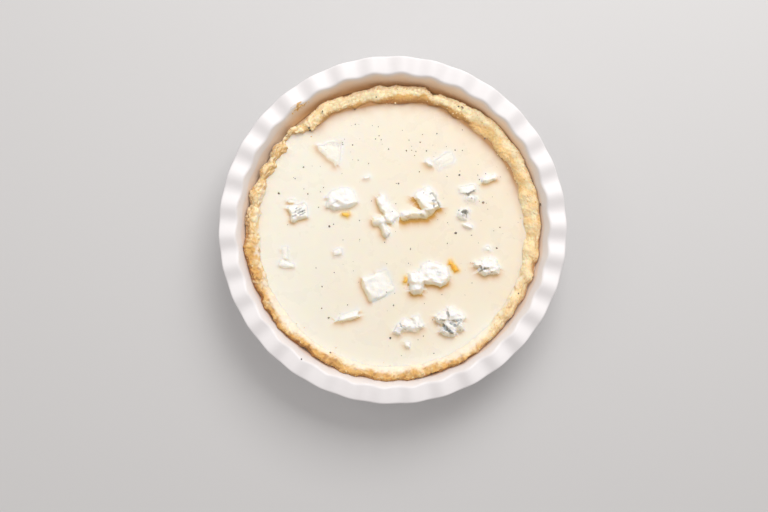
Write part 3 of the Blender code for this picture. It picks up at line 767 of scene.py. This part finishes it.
cheese = {
    "voxel": 0.42 * mm,
    "lean": 0.35,                       # how far the lee side leans in, as a share of its height
    "warp": (6 * mm, 1.5 * mm),         # size and strength of the bends in its outline
    "dome": 2.4 * mm,                   # how far in from the outline the top is domed
    "swell": 5.5 * mm,
    "crumbs": 2.4 * mm,
    "fine": 1.1 * mm,
    # painted shade on the toppings' sides facing away from the light
    "leeColour": (0.97, 0.74, 0.38, 1),
    "white": (0.95, 0.94, 0.925, 1),
    "creamy": (0.93, 0.86, 0.72, 1),
    "blue": (0.37, 0.40, 0.41, 1),
    "dark": (0.10, 0.105, 0.085, 1),
}

pumpkin = {
    "voxel": 0.28 * mm,
    "warp": (3.5 * mm, 1.3 * mm),
    "swell": (3 * mm, 0.6 * mm),
    "crumbs": (0.8 * mm, 0.15 * mm),
    "colour": (0.90, 0.40, 0.012, 1),
    "paleColour": (0.92, 0.555, 0.035, 1),
}

# For each topping: how much it is rounded; how high it rises, as a share of its solid's height; its shaded
# side, where yellow-brown shade is painted on it and on the custard beside it, as an angle, a reach in
# millimetres and a strength;
# how far its other side is sunk; how much cream films it; and, for a lump, its uneven swell and its crumbs
# in millimetres.
lookNames = ("round", "rise", "lee", "sunk", "film", "swell", "crumbs")
lumps = {
    "cheese_01": (14, 0.42, (235, 2.6, 0.66), 1.15, 0.78, 0.5, 0.10),
    "cheese_02": (12, 1.00, (245, 1.8, 0.84), 0.70, 0.10, 0.3, 0.20),
    "cheese_03": (34, 0.75, (262, 1.8, 0.54), 0.80, 0.10, 1.2, 0.15),
    "cheese_04": (18, 1.00, (255, 1.4, 0.36), 0.30, 0.20, 0.5, 0.15),
    "cheese_05": (26, 0.95, (215, 2.4, 0.84), 0.90, 0.10, 1.0, 0.20),
    "cheese_06": (22, 1.00, (262, 3.4, 1.60), 0.70, 0.00, 0.9, 0.25),
    "cheese_07": (20, 1.00, (250, 2.6, 0.72), 0.30, 0.10, 0.5, 0.20),
    "cheese_08": (20, 0.50, (235, 1.0, 0.12), 1.10, 0.80, 0.4, 0.10),
    "cheese_09": (22, 1.00, (285, 2.2, 0.90), 0.60, 0.10, 0.6, 0.20),
    "cheese_10": (18, 0.90, (270, 1.0, 0.24), 0.70, 0.20, 0.5, 0.20),
    "cheese_11": (18, 1.00, (250, 1.2, 0.36), 0.50, 0.10, 0.5, 0.25),
    "cheese_12": (18, 1.00, (240, 1.4, 0.42), 0.30, 0.15, 0.5, 0.20),
    "cheese_13": (22, 0.70, (262, 1.4, 0.42), 0.90, 0.30, 0.4, 0.15),
    "cheese_14": (18, 1.00, (230, 1.4, 0.36), 0.50, 0.30, 0.4, 0.20),
    "cheese_15": (16, 0.80, (205, 2.2, 0.80), 1.10, 0.35, 0.6, 0.10),
    "cheese_16": (40, 1.00, (268, 2.8, 1.20), 0.80, 0.00, 1.2, 0.20),
    "cheese_17": (24, 0.90, (262, 2.8, 0.84), 0.60, 0.00, 1.2, 0.40),
    "cheese_18": (18, 1.00, (255, 1.0, 0.18), 0.40, 0.30, 0.4, 0.20),
    "cheese_19": (18, 1.00, (285, 2.6, 0.90), 0.90, 0.15, 0.5, 0.15),
    "cheese_20": (26, 0.90, (262, 2.6, 0.66), 0.70, 0.05, 1.0, 0.30),
    "cheese_21": (24, 1.00, (240, 2.2, 0.60), 0.40, 0.10, 0.5, 0.25),
    "cheese_22": (20, 1.00, (250, 2.2, 0.84), 0.40, 0.00, 1.3, 0.45),
}
bits = {
    "pumpkin_01": (8, 1.00, (215, 0.9, 0.25), 0.60, 0.00),
    "pumpkin_02": (9, 1.00, (250, 0.9, 0.25), 0.70, 0.30),
    "pumpkin_03": (9, 1.00, (265, 1.6, 0.35), 0.90, 0.30),
}
looks = {node: dict(zip(lookNames, values)) for node, values in {**lumps, **bits}.items()}

# Veins, each from one point to another in millimetres, with a width and a darkness.
veins = {
    "cheese_02": ((-70.7, 16.4, -66.3, 19.3, 0.8, 0.75), (-71.5, 14.0, -67.1, 16.6, 0.7, 0.6),
                  (-73.7, 12.8, -68.5, 14.4, 0.6, 0.45), (-69.3, 12.9, -64.5, 14.9, 0.8, 0.85),
                  (-73.3, 10.5, -70.8, 11.3, 0.7, 0.6), (-67.8, 11.5, -64.2, 13.5, 0.7, 0.75)),
    "cheese_03": ((-44.4, 19.5, -40.7, 21.7, 0.9, 0.3),),
    "cheese_06": ((27.7, 27.2, 29.9, 27.9, 1.0, 0.65), (29.9, 27.6, 32.5, 23.9, 1.2, 0.8),
                  (29.2, 22.1, 32.9, 22.5, 1.1, 0.85), (32.9, 23.2, 35.1, 16.6, 1.2, 1.0),
                  (29.6, 21.7, 30.3, 17.3, 1.0, 0.55), (20.8, 11.5, 23.7, 9.3, 1.3, 0.6),
                  (9.1, 10.4, 11.6, 8.9, 1.0, 0.5), (25.9, 13.7, 28.1, 12.2, 0.8, 0.3)),
    "cheese_08": ((32.5, 47.3, 35.4, 50.6, 1.1, 0.45), (35.4, 48.8, 43.4, 52.8, 0.8, 0.35)),
    "cheese_09": ((66.1, 36.3, 68.3, 36.3, 0.8, 0.3),),
    "cheese_10": ((50.1, 25.7, 55.2, 26.6, 1.3, 0.55), (55.2, 26.5, 60.7, 28.8, 1.6, 1.15),
                  (59.6, 27.6, 62.2, 19.5, 1.5, 0.45)),
    "cheese_11": ((52.3, 14.4, 54.5, 13.9, 2.1, 1.5), (54.2, 14.0, 55.8, 11.2, 1.9, 1.35),
                  (51.6, 11.5, 55.2, 9.6, 1.1, 0.45)),
    "cheese_14": ((-38.6, -17.8, -36.4, -17.1, 0.9, 0.3),),
    "cheese_15": ((-13.6, -54.5, -9.2, -51.6, 1.2, 0.12),),
    "cheese_16": ((32.6, -30.3, 35.5, -31.0, 0.8, 0.25),),
    "cheese_17": ((64.1, -25.9, 65.2, -27.7, 1.0, 0.85), (64.1, -29.9, 67.4, -27.7, 0.9, 0.8),
                  (67.0, -28.1, 70.0, -27.6, 0.9, 0.9)),
    "cheese_19": ((-43.0, -65.9, -31.3, -68.5, 0.9, 0.6),),
    "cheese_20": ((4.7, -67.0, 6.6, -70.4, 0.7, 1.0), (6.9, -70.7, 9.9, -73.7, 0.8, 0.4),
                  (14.6, -67.4, 16.5, -68.2, 0.8, 0.25), (19.4, -70.7, 20.9, -71.5, 0.9, 0.3)),
    "cheese_22": ((40.0, -59.7, 41.4, -62.6, 1.0, 0.75), (34.8, -64.8, 37.8, -66.3, 1.0, 0.55),
                  (37.0, -69.3, 39.2, -72.2, 1.4, 1.0), (39.2, -71.5, 43.6, -75.1, 1.6, 1.0),
                  (44.4, -66.3, 50.2, -65.6, 1.4, 0.65), (42.9, -67.8, 46.6, -70.0, 1.2, 0.55),
                  (47.3, -69.3, 49.5, -67.0, 1.0, 0.5)),
}


def veinsAt(points, rows):
    # how dark a vein is at each point, with ragged edges
    flat = points[:, :2] / mm
    ragged = softNoise(points, 1.3 * mm)
    dark = np.zeros(len(points))
    for startX, startY, endX, endY, width, strength in rows:
        start, run = np.array((startX, startY)), np.array((endX - startX, endY - startY))
        along = np.clip((flat - start) @ run / (run @ run), 0, 1)
        distance = np.hypot(*(flat - start - along[:, None] * run).T) + 0.45 * width * ragged
        dark = np.maximum(dark, strength * (1 - blendStep(0.3 * width, 1.2 * width, distance)))
    return dark * np.clip(0.8 + 0.6 * softNoise(points, 2.2 * mm), 0, 1)


def startTopping(node, voxel, swellSize, swellHeight):
    piece = copyOfNode(node, node.replace("_", ""))
    applyNew(piece, "REMESH", mode="VOXEL", voxel_size=voxel)
    applyNew(piece, "SMOOTH", factor=0.5, iterations=looks[node]["round"])
    roughen(piece, swellSize, swellHeight, 1)
    return piece


def leeSide(look):
    return np.array(around(math.radians(look["lee"][0]), 1))


def settle(piece, look, warp):
    # bends a topping's outline, domes its top, sinks the side towards the light into the custard and leans
    # the other side in
    points = getPoints(piece)
    level, lee = custard["level"], leeSide(look)
    onOutline, flattening, filmReach = 0.5 * mm, 1.7, 1.1 * mm
    inwards = distanceTo(flatTree(points[np.abs(points[:, 2] - level) < onOutline]), points)
    bends = np.array([noise.noise_vector(Vector((x, y, 0)) / warp[0]) for x, y, z in points])
    points[:, :2] += warp[1] * bends[:, :2]
    rise = np.maximum(points[:, 2] - level, 0)
    rise = look["rise"] * rise.max() * np.tanh(flattening * rise / rise.max())
    dome = blendStep(0, min(cheese["dome"], 0.8 * inwards.max()), inwards)
    rise *= 0.5 + (0.55 + 0.35 * softNoise(points, 4 * mm)) * dome
    along = points[:, :2] @ lee
    above = along[rise > 0]
    share = (along - above.min()) / (above.max() - above.min())
    sunk = 0.6 * look["sunk"] * blendStep(0.7, 0.0, share)
    points[:, 2] = np.where(rise > 0, level + rise * (1 - sunk), points[:, 2])
    leaning = cheese["lean"] * rise * (1 - np.minimum(sunk, 1)) * blendStep(0.3, 0.8, share)
    points[:, :2] -= leaning[:, None] * lee
    setPoints(piece, points)
    applyNew(piece, "SMOOTH", factor=0.5, iterations=6)
    # cream laps over its edge, but for the shaded side
    film = np.maximum(look["film"], 0.75 * np.exp(-inwards / filmReach) * blendStep(0.9, 0.5, share))
    setMasks(piece, sunk=sunk, film=film)


def makeLump(node, look):
    piece = startTopping(node, cheese["voxel"], cheese["swell"], look["swell"] * mm * 1.3)
    settle(piece, look, cheese["warp"])
    even, normals = getPoints(piece), getNormals(piece)
    relief = look["crumbs"] * (grains(even, cheese["crumbs"]) + 0.5 * grains(even, cheese["fine"]) - 0.75)
    vein = veinsAt(even, veins.get(node, ()))
    # veins lie in little hollows
    points = even + normals * ((relief * 1.9 - 0.4 * vein) * mm)[:, None]
    setPoints(piece, points)
    # painted shade on the side facing away from the light, most near the custard
    lower = 1 - blendStep(0, 2.6 * mm, points[:, 2] - custard["level"])
    fat = look["lee"][2] * blendStep(0.0, 0.5, normals[:, :2] @ leeSide(look)) * (0.35 + 0.65 * lower)
    setMasks(piece, vein=vein, relief=relief, lee=fat)
    shade(piece)
    return piece


def makeCheeseMaterial():
    material, tree = newMaterial("blueCheese", IOR=1.4, Subsurface_Weight=0.6,
                                 Subsurface_Radius=(1.0, 0.8, 0.6), Subsurface_Scale=1.2 * mm)
    vein = times(tree, mask(tree, "vein"), fromTo(tree, patches(tree, 1.2, 0.25, 0.6), 0, 1, 0.6, 1.0))
    cream = useGroup(tree, creamFoot, Reach=0.6 * mm, Wobble=1.0 * mm, Size=3 * mm)
    cream = mathNode(tree, "MAXIMUM", times(tree, cream, 0.85), mask(tree, "film"))
    colour = layered(tree, cheese["white"],
                     (patches(tree, 4, 0.4, 0.7), 0.3, cheese["creamy"]),
                     (fromTo(tree, mask(tree, "relief"), -0.15, -0.6), 0.25, cheese["blue"]),
                     (fromTo(tree, vein, 0.0, 0.5), 0.95, cheese["blue"]),
                     (fromTo(tree, vein, 0.45, 0.9), 1, cheese["dark"]),
                     (cream, 1, custard["colour"]),
                     # painted shade on the side facing away from the light
                     (mask(tree, "lee"), 1, cheese["leeColour"]))
    height = useGroup(tree, grain, Size=0.7 * mm)
    setSurface(tree, colour, height, 0.3, 0.2 * mm, fromTo(tree, cream, 0, 1, 0.5, 0.3))
    return material


def makePumpkinBit(node, look):
    piece = startTopping(node, pumpkin["voxel"], *pumpkin["swell"])
    settle(piece, look, pumpkin["warp"])
    roughen(piece, *pumpkin["crumbs"])
    shade(piece)
    return piece


def makePumpkinMaterial():
    material, tree = newMaterial("pumpkinFlesh", IOR=1.38, Roughness=0.3, Subsurface_Weight=0.3,
                                 Subsurface_Radius=(1.0, 0.5, 0.15), Subsurface_Scale=1.5 * mm)
    cream = useGroup(tree, creamFoot, Reach=0.3 * mm, Wobble=0.5 * mm, Size=2 * mm)
    cream = mathNode(tree, "MAXIMUM", cream, mask(tree, "film"))
    colour = layered(tree, pumpkin["colour"],
                     (patches(tree, 2.5, 0.35, 0.65), 1, pumpkin["paleColour"]),
                     (cream, 0.35, custard["richColour"]))
    setSurface(tree, colour, useGroup(tree, grain, Size=0.5 * mm), 0.3, 0.15 * mm)
    return material


toppings = {}
for rows, makePiece, material, slot in ((lumps, makeLump, makeCheeseMaterial(), "cheese"),
                                        (bits, makePumpkinBit, makePumpkinMaterial(), "pumpkin")):
    for node in rows:
        toppings[node] = makePiece(node, looks[node])
        finishPiece(toppings[node], material, slot, node)
print("toppings: %d, %d faces" % (len(toppings), sum(len(p.data.polygons) for p in toppings.values())))


# the custard

def waterline(nodes, sunkToo=False):
    # the points where these toppings meet the custard, and how much painted shadow lies beside each
    rings, lees = [], []
    onLevel, upright = 0.35 * mm, 0.85
    for node in nodes:
        piece = toppings[node]
        points, normals = getPoints(piece), getNormals(piece)
        sunk = np.empty(len(points), np.float32)
        piece.data.attributes["sunk"].data.foreach_get("value", sunk)
        at = (np.abs(points[:, 2] - custard["level"]) < onLevel) & (normals[:, 2] < upright)
        at &= sunkToo | (sunk < 0.5)
        angle, reach, strength = looks[node]["lee"]
        side = normals[at][:, :2] @ leeSide(looks[node])
        rings.append(points[at])
        lees += [(reach * mm, strength * share) for share in blendStep(-0.15, 0.7, side)]
    return flatTree(np.concatenate(rings)), lees


def leeAt(tree, lees, points):
    # how much painted shadow each custard point gets from the nearest topping's shaded side
    values = []
    for x, y in points[:, :2]:
        nearest, number, distance = tree.find((x, y, 0))
        reach, strength = lees[number]
        values.append(strength * math.exp(-(distance / reach) ** 1.5))
    return np.array(values)


def makeCustard():
    shores, lees = waterline(toppings)
    lumpShores, bitShores = waterline(lumps, True)[0], waterline(bits, True)[0]
    level, floor = custard["level"], custard["floor"]
    span = 2 * (custard["widest"] + custard["overlap"])
    cells = int(span / custard["spacing"])
    deselectObjects()
    bpy.ops.mesh.primitive_grid_add(x_subdivisions=cells, y_subdivisions=cells, size=span,
                                    location=(0, 0, level))
    piece = newPiece("creamCustard")
    bpy.ops.object.transform_apply(location=True, rotation=False, scale=False)
    selectFaces(piece, lambda middle: insideOverlap(middle) < 0)
    bpy.ops.mesh.delete(type="FACE")
    selectFaces(piece, lambda middle: (insideEdge(middle) < custard["finer"][0])
                | (distanceTo(shores, middle) < custard["finer"][1]))
    bpy.ops.mesh.subdivide(number_cuts=1)
    objectMode()
    points = getPoints(piece)
    band = bandsOf(points)
    front, back = band(186, 322, 8), band(14, 128, 12)
    fromEdge, fromLump = np.maximum(insideEdge(points), 0), distanceTo(shores, points)
    broad, small = custard["waveSizes"]
    points[:, 2] += (custard["rimCurl"] * np.exp(-fromEdge / (custard["rimReach"] * (1.4 + 1.2 * front)))
                     + custard["lumpCurl"] * np.exp(-fromLump / custard["lumpReach"])
                     + custard["waves"] * (softNoise(points, broad) + 0.4 * softNoise(points, small)))
    setPoints(piece, points)
    # painted shade and reflected pastry colour on the custard along the pastry, most at the back
    reach = (2.7 + 0.9 * softNoise(points, 6 * mm)) * mm
    # painted shade: darker and yellower towards the right and the bottom
    rightwards = 0.95 * points[:, 0] - 0.15 * points[:, 1]
    # the toppings' painted shadows on the custard
    setMasks(piece, lee=leeAt(shores, lees, points),
             rich=blendStep(*custard["richens"], rightwards + 10 * mm),
             nearCoat=np.exp(-fromEdge / custard["coatReach"]) * front,
             # painted glow round the lumps
             nearLump=np.exp(-distanceTo(lumpShores, points) / custard["lumpTint"]),
             nearBit=np.exp(-distanceTo(bitShores, points) / custard["bitTint"]),
             nearEdge=np.exp(-fromEdge / reach) * (0.1 + 0.9 * back))
    # its side and its underside, inside the pastry
    selectFaces(piece, lambda middle: np.ones(len(middle), bool))
    bpy.ops.mesh.region_to_loop()
    bpy.ops.mesh.extrude_edges_move(TRANSFORM_OT_translate={"value": (0, 0, floor - level)})
    inwards = (custard["floorShare"], custard["floorShare"], 1)
    bpy.ops.transform.resize(value=inwards, center_override=(0, 0, floor))
    bpy.ops.mesh.edge_face_add()
    pickAll()
    bpy.ops.mesh.normals_make_consistent(inside=False)
    shade(piece, 40)
    return piece


def makeCustardMaterial():
    material, tree = newMaterial("creamCustard", IOR=1.4, Subsurface_Weight=0.75,
                                 Subsurface_Radius=(1.0, 0.8, 0.45), Subsurface_Scale=1.3 * mm)
    # random richer patches, with painted shade towards the right
    rich = mathNode(tree, "ADD", times(tree, patches(tree, 30, 0.35, 0.7), 0.15),
                    times(tree, mask(tree, "rich"), 0.85))
    colour = layered(tree, custard["colour"],
                     (rich, 1, custard["richColour"]),
                     # painted glow round the lumps
                     (mask(tree, "nearLump"), 0.7, cheese["white"]),
                     (mask(tree, "nearBit"), 0.65, pumpkin["paleColour"]),
                     # the toppings' painted shadows
                     (mask(tree, "lee"), 0.9, custard["fat"]),
                     # painted shade and reflected pastry colour along the pastry
                     (mask(tree, "nearEdge"), 1, custard["edgeColour"]),
                     (mask(tree, "nearCoat"), 1, custard["colour"]),
                     (patches(tree, 0.8, 0.775, 0.80), 0.35, pepper["brown"]))      # pepper dust
    streaks = fromTo(tree, patches(tree, 14, 0.3, 0.7), 0, 1, *custard["roughness"])
    setSurface(tree, colour, patches(tree, 2.2, 0.2, 0.8), 0.15, 0.1 * mm, streaks)
    return material


# pepper, and crumbs of pastry

pepper = {
    "seen": (
        (-1.8, -79.1), (66.6, 20.9), (-47.1, -64.1), (46.5, -1.8), (-46.5, 3.2), (-83.6, 27.5), (10.1, 58.7),
        (76.7, -12.9), (-65.5, 46.7), (-62.4, 27.0), (4.4, 34.7), (49.1, 41.0), (79.1, 2.4), (-52.0, -41.2),
        (-3.0, 59.9), (0.7, -55.0), (-8.5, 66.9), (32.6, 71.3), (58.2, -3.4), (-71.6, 38.3), (-43.0, -30.8),
        (13.2, -13.6), (-33.2, -54.7), (22.8, -77.9), (-36.6, 63.3), (40.1, 39.9), (-12.6, 67.4),
        (45.9, 59.2), (62.6, 40.8), (68.5, 42.0), (2.4, 19.9), (20.2, 64.9), (-9.9, 69.7), (-54.5, 17.2),
        (-52.3, -57.2), (30.5, -90.6), (-29.4, 62.9), (40.4, -9.4), (-56.4, -27.5), (48.8, 15.0)),
    # dark bits on the pastry and one on the dish, as angle, radius in millimetres and size
    "onEdge": ((10, 110.0, 1.3), (45, 95.6, 0.9), (60.5, 103.5, 1.3), (62, 102.6, 0.8), (107.2, 93.2, 1.1),
               (120.5, 100.9, 1.1), (129.3, 95.2, 1.3), (129.0, 97.0, 1.1), (243, 100.9, 1.0),
               (333.5, 103.1, 0.8), (341.5, 108.4, 1.1), (234.6, 114.2, 0.8), (88, 103.0, 0.6),
               (97, 98.2, 0.7)),
    "largest": 1.15 * mm,
    "smallest": 0.56 * mm,
    "scattered": 110,
    "scatterRadius": 93 * mm,
    "black": (0.085, 0.07, 0.055, 1),
    "brown": (0.30, 0.215, 0.14, 1),
}


def makeChips(count, flatness):
    # a few broken shapes that are then copied
    chips = []
    for number in range(count):
        deselectObjects()
        bpy.ops.mesh.primitive_ico_sphere_add(subdivisions=1, radius=1)
        chip = bpy.context.object
        editMode()
        for cut in range(3):
            side = Vector([random.uniform(-1, 1) for axis in range(3)]).normalized()
            pickAll()
            bpy.ops.mesh.bisect(plane_co=side * random.uniform(0.45, 0.8), plane_no=side,
                                use_fill=True, clear_outer=True)
        pickAll()
        bpy.ops.transform.resize(value=(1, random.uniform(0.6, 1), flatness))
        bpy.ops.mesh.normals_make_consistent(inside=False)
        objectMode()
        chips.append((getPoints(chip), [tuple(face.vertices) for face in chip.data.polygons]))
        bpy.data.objects.remove(chip)
    return chips


def joinCopies(name, chips, places):
    # one mesh of many copies, each at its own place, with a tone of its own
    points, faces, tones = [], [], []
    for place in places:
        shape, shapeFaces = random.choice(chips)
        start = sum(map(len, points))
        points.append(np.array([place @ Vector(point) for point in shape]))
        faces += [tuple(start + corner for corner in face) for face in shapeFaces]
        tones += [random.random()] * len(shape)
    mesh = bpy.data.meshes.new(name)
    mesh.from_pydata(np.concatenate(points).tolist(), [], faces)
    piece = bpy.data.objects.new(name, mesh)
    bpy.context.scene.collection.objects.link(piece)
    setMasks(piece, tone=tones)
    return piece


def lying(position, size, tilt, normal=Vector((0, 0, 1))):
    # a place for a chip of this size on a surface, turned and tilted by chance
    turn = Euler((random.uniform(-tilt, tilt), random.uniform(-tilt, tilt), random.uniform(0, math.tau)))
    onSurface = normal.to_track_quat("Z", "Y").to_matrix().to_4x4()
    return Matrix.Translation(position) @ onSurface @ turn.to_matrix().to_4x4() @ Matrix.Scale(size, 4)


def lyingOn(surfaces, x, y, size, tilt):
    # the same on the topmost of these surfaces
    above, down = Vector((x, y, 60 * mm)), Vector((0, 0, -1))
    hits = [surface.ray_cast(above, down) for surface in surfaces]
    top = max((hit for hit in hits if hit[0]), key=lambda hit: hit[0].z)
    return lying(top[0], size, tilt, top[1])


def makePepper(surfaces, edges):
    places = [lyingOn(edges, *around(math.radians(angle), radius * mm), size * mm, 0.6)
              for angle, radius, size in pepper["onEdge"]]
    smallest, largest = pepper["smallest"], pepper["largest"]
    for number, (x, y) in enumerate(pepper["seen"]):
        size = smallest + (largest - smallest) * (1 - number / len(pepper["seen"])) ** 3
        places.append(lyingOn(surfaces, x * mm, y * mm, size * random.uniform(0.85, 1.15), 0.3))
    wanted = len(places) + pepper["scattered"]
    while len(places) < wanted:
        x, y = around(random.uniform(0, math.tau), pepper["scatterRadius"] * math.sqrt(random.random()))
        # more of them lie on the right half and at the top than elsewhere
        if random.random() < 0.45 + 0.4 * (x + 0.7 * y) / (95 * mm):
            places.append(lyingOn(surfaces, x, y, smallest * random.uniform(0.35, 1.1), 0.4))
    return joinCopies("pepperFlakes", makeChips(6, 0.4), places)


def makePepperMaterial():
    material, tree = newMaterial("blackPepper", Roughness=0.55)
    colour = layered(tree, pepper["black"], (mask(tree, "tone"), 1, pepper["brown"]))
    setSurface(tree, colour, useGroup(tree, grain, Size=0.3 * mm), 0.4, 0.1 * mm)
    return material


crumbs = {
    "onPastry": 420,
    "onDish": 26,
    "onCustard": 14,
    "sizes": (0.3 * mm, 0.95 * mm),
    "crackAngle": (127, 2.2),       # those on the dish: their angle and how it spreads, and their heights
    "crackHeights": (38, 43),
    "fromEdge": (1.2, 2.0),         # those on the custard: how far from its edge, and how that spreads
}


def makeCrumbs(surfaces):
    points, normals = getPoints(pastryPiece), getNormals(pastryPiece)
    shown = np.nonzero((points[:, 2] > custard["level"] + 1.5 * mm) & (normals[:, 2] > 0.1)
                       & (creamCoat(points) < 0.2))[0]
    smallest, largest = crumbs["sizes"]
    places = []
    for number in random.sample(shown.tolist(), crumbs["onPastry"]):
        size, normal = smallest + (largest - smallest) * random.random() ** 2, Vector(normals[number])
        point = Vector(points[number]) - normal * 0.25 * size
        if math.hypot(point.x, point.y) < wallRadius(point.z) - size - 0.3 * mm:
            places.append(lying(point, size, 1.5, normal))
    for number in range(crumbs["onDish"]):
        # stuck to the dish's wall beside the crack at the back left
        angle = math.radians(random.gauss(*crumbs["crackAngle"]))
        height = random.uniform(*crumbs["crackHeights"]) * mm
        point = Vector((*around(angle, wallRadius(height) - 0.3 * mm), height))
        places.append(lying(point, random.uniform(0.3, 0.9) * mm, 1.5))
    for number in range(crumbs["onCustard"]):
        angle = random.uniform(0, math.tau)
        water = edgeAt(np.array([around(angle, 1)]))[3][0]
        reach = water - abs(random.gauss(*crumbs["fromEdge"])) * mm
        places.append(lyingOn(surfaces, *around(angle, reach), random.uniform(0.3, 0.7) * mm, 1.0))
    return joinCopies("pastryCrumbs", makeChips(7, 0.8), places)


def makeCrumbMaterial():
    material, tree = newMaterial("pastryCrumb", Roughness=0.8)
    tone = fromTo(tree, mask(tree, "tone"), 0, 1, 0.25, 1.0)
    colour = layered(tree, pastry["pale"], (tone, 1, pastry["gold"]))
    setSurface(tree, colour, useGroup(tree, grain, Size=0.5 * mm), 0.5, 0.2 * mm)
    return material


custardPiece = makeCustard()
finishPiece(custardPiece, makeCustardMaterial(), "custard", "custard")
print("custard: %d faces" % len(custardPiece.data.polygons))

bpy.context.view_layer.update()
depsgraph = bpy.context.evaluated_depsgraph_get()
surfaces = [BVHTree.FromObject(piece, depsgraph) for piece in (custardPiece, *toppings.values())]
edges = [BVHTree.FromObject(piece, depsgraph) for piece in (custardPiece, pastryPiece, dishPiece)]
finishPiece(makePepper(surfaces, edges), makePepperMaterial(), "custard")
finishPiece(makeCrumbs(surfaces), makeCrumbMaterial(), "pastry")
print("pepper and crumbs scattered")


# floor, light and camera

studio = {
    "floor": (0.66, 0.66, 0.665, 1),
    "floorSize": 30,
    "world": (1.0, 0.955, 0.93, 1),
    "worldStrength": 0.52,
    "keyPlace": (0.28, 0.78, 0.90),
    "keySize": 0.7,
    "keyPower": 10.1,
    "fillPlace": (-0.62, 0.10, 0.80),
    "fillSize": 0.5,
    "fillPower": 0.75,
    "lightColour": (1.0, 0.985, 0.97),
    "cameraPlace": (-0.0063, 0.002, 0.8165),
    "cameraTilt": math.radians(-1.506),
    "lens": 50,
    "clipStart": 0.01,
}


def makeStudio():
    deselectObjects()
    bpy.ops.mesh.primitive_plane_add(size=studio["floorSize"], location=(0, 0, 0))
    floor = newPiece("floor")
    floor.data.materials.append(newMaterial("paleFloor", Roughness=0.9, Base_Color=studio["floor"])[0])
    scene = bpy.context.scene
    world = bpy.data.worlds.new("softWorld")
    world.use_nodes = True
    background = world.node_tree.nodes["Background"]
    background.inputs["Color"].default_value = studio["world"]
    background.inputs["Strength"].default_value = studio["worldStrength"]
    scene.world = world
    aim = Vector((0, 0, custard["level"]))
    for name in ("key", "fill"):
        bpy.ops.object.light_add(type="AREA", location=studio[name + "Place"])
        light = bpy.context.object
        light.name = name + "Light"
        light.data.size = studio[name + "Size"]
        light.data.energy = studio[name + "Power"]
        light.data.color = studio["lightColour"]
        light.rotation_euler = (aim - light.location).to_track_quat("-Z", "Y").to_euler()
    bpy.ops.object.camera_add(location=studio["cameraPlace"], rotation=(studio["cameraTilt"], 0, 0))
    camera = bpy.context.object
    camera.data.lens = studio["lens"]
    camera.data.clip_start = studio["clipStart"]
    scene.camera = camera
    scene.view_settings.view_transform = "Standard"


makeStudio()
print("studio ready")
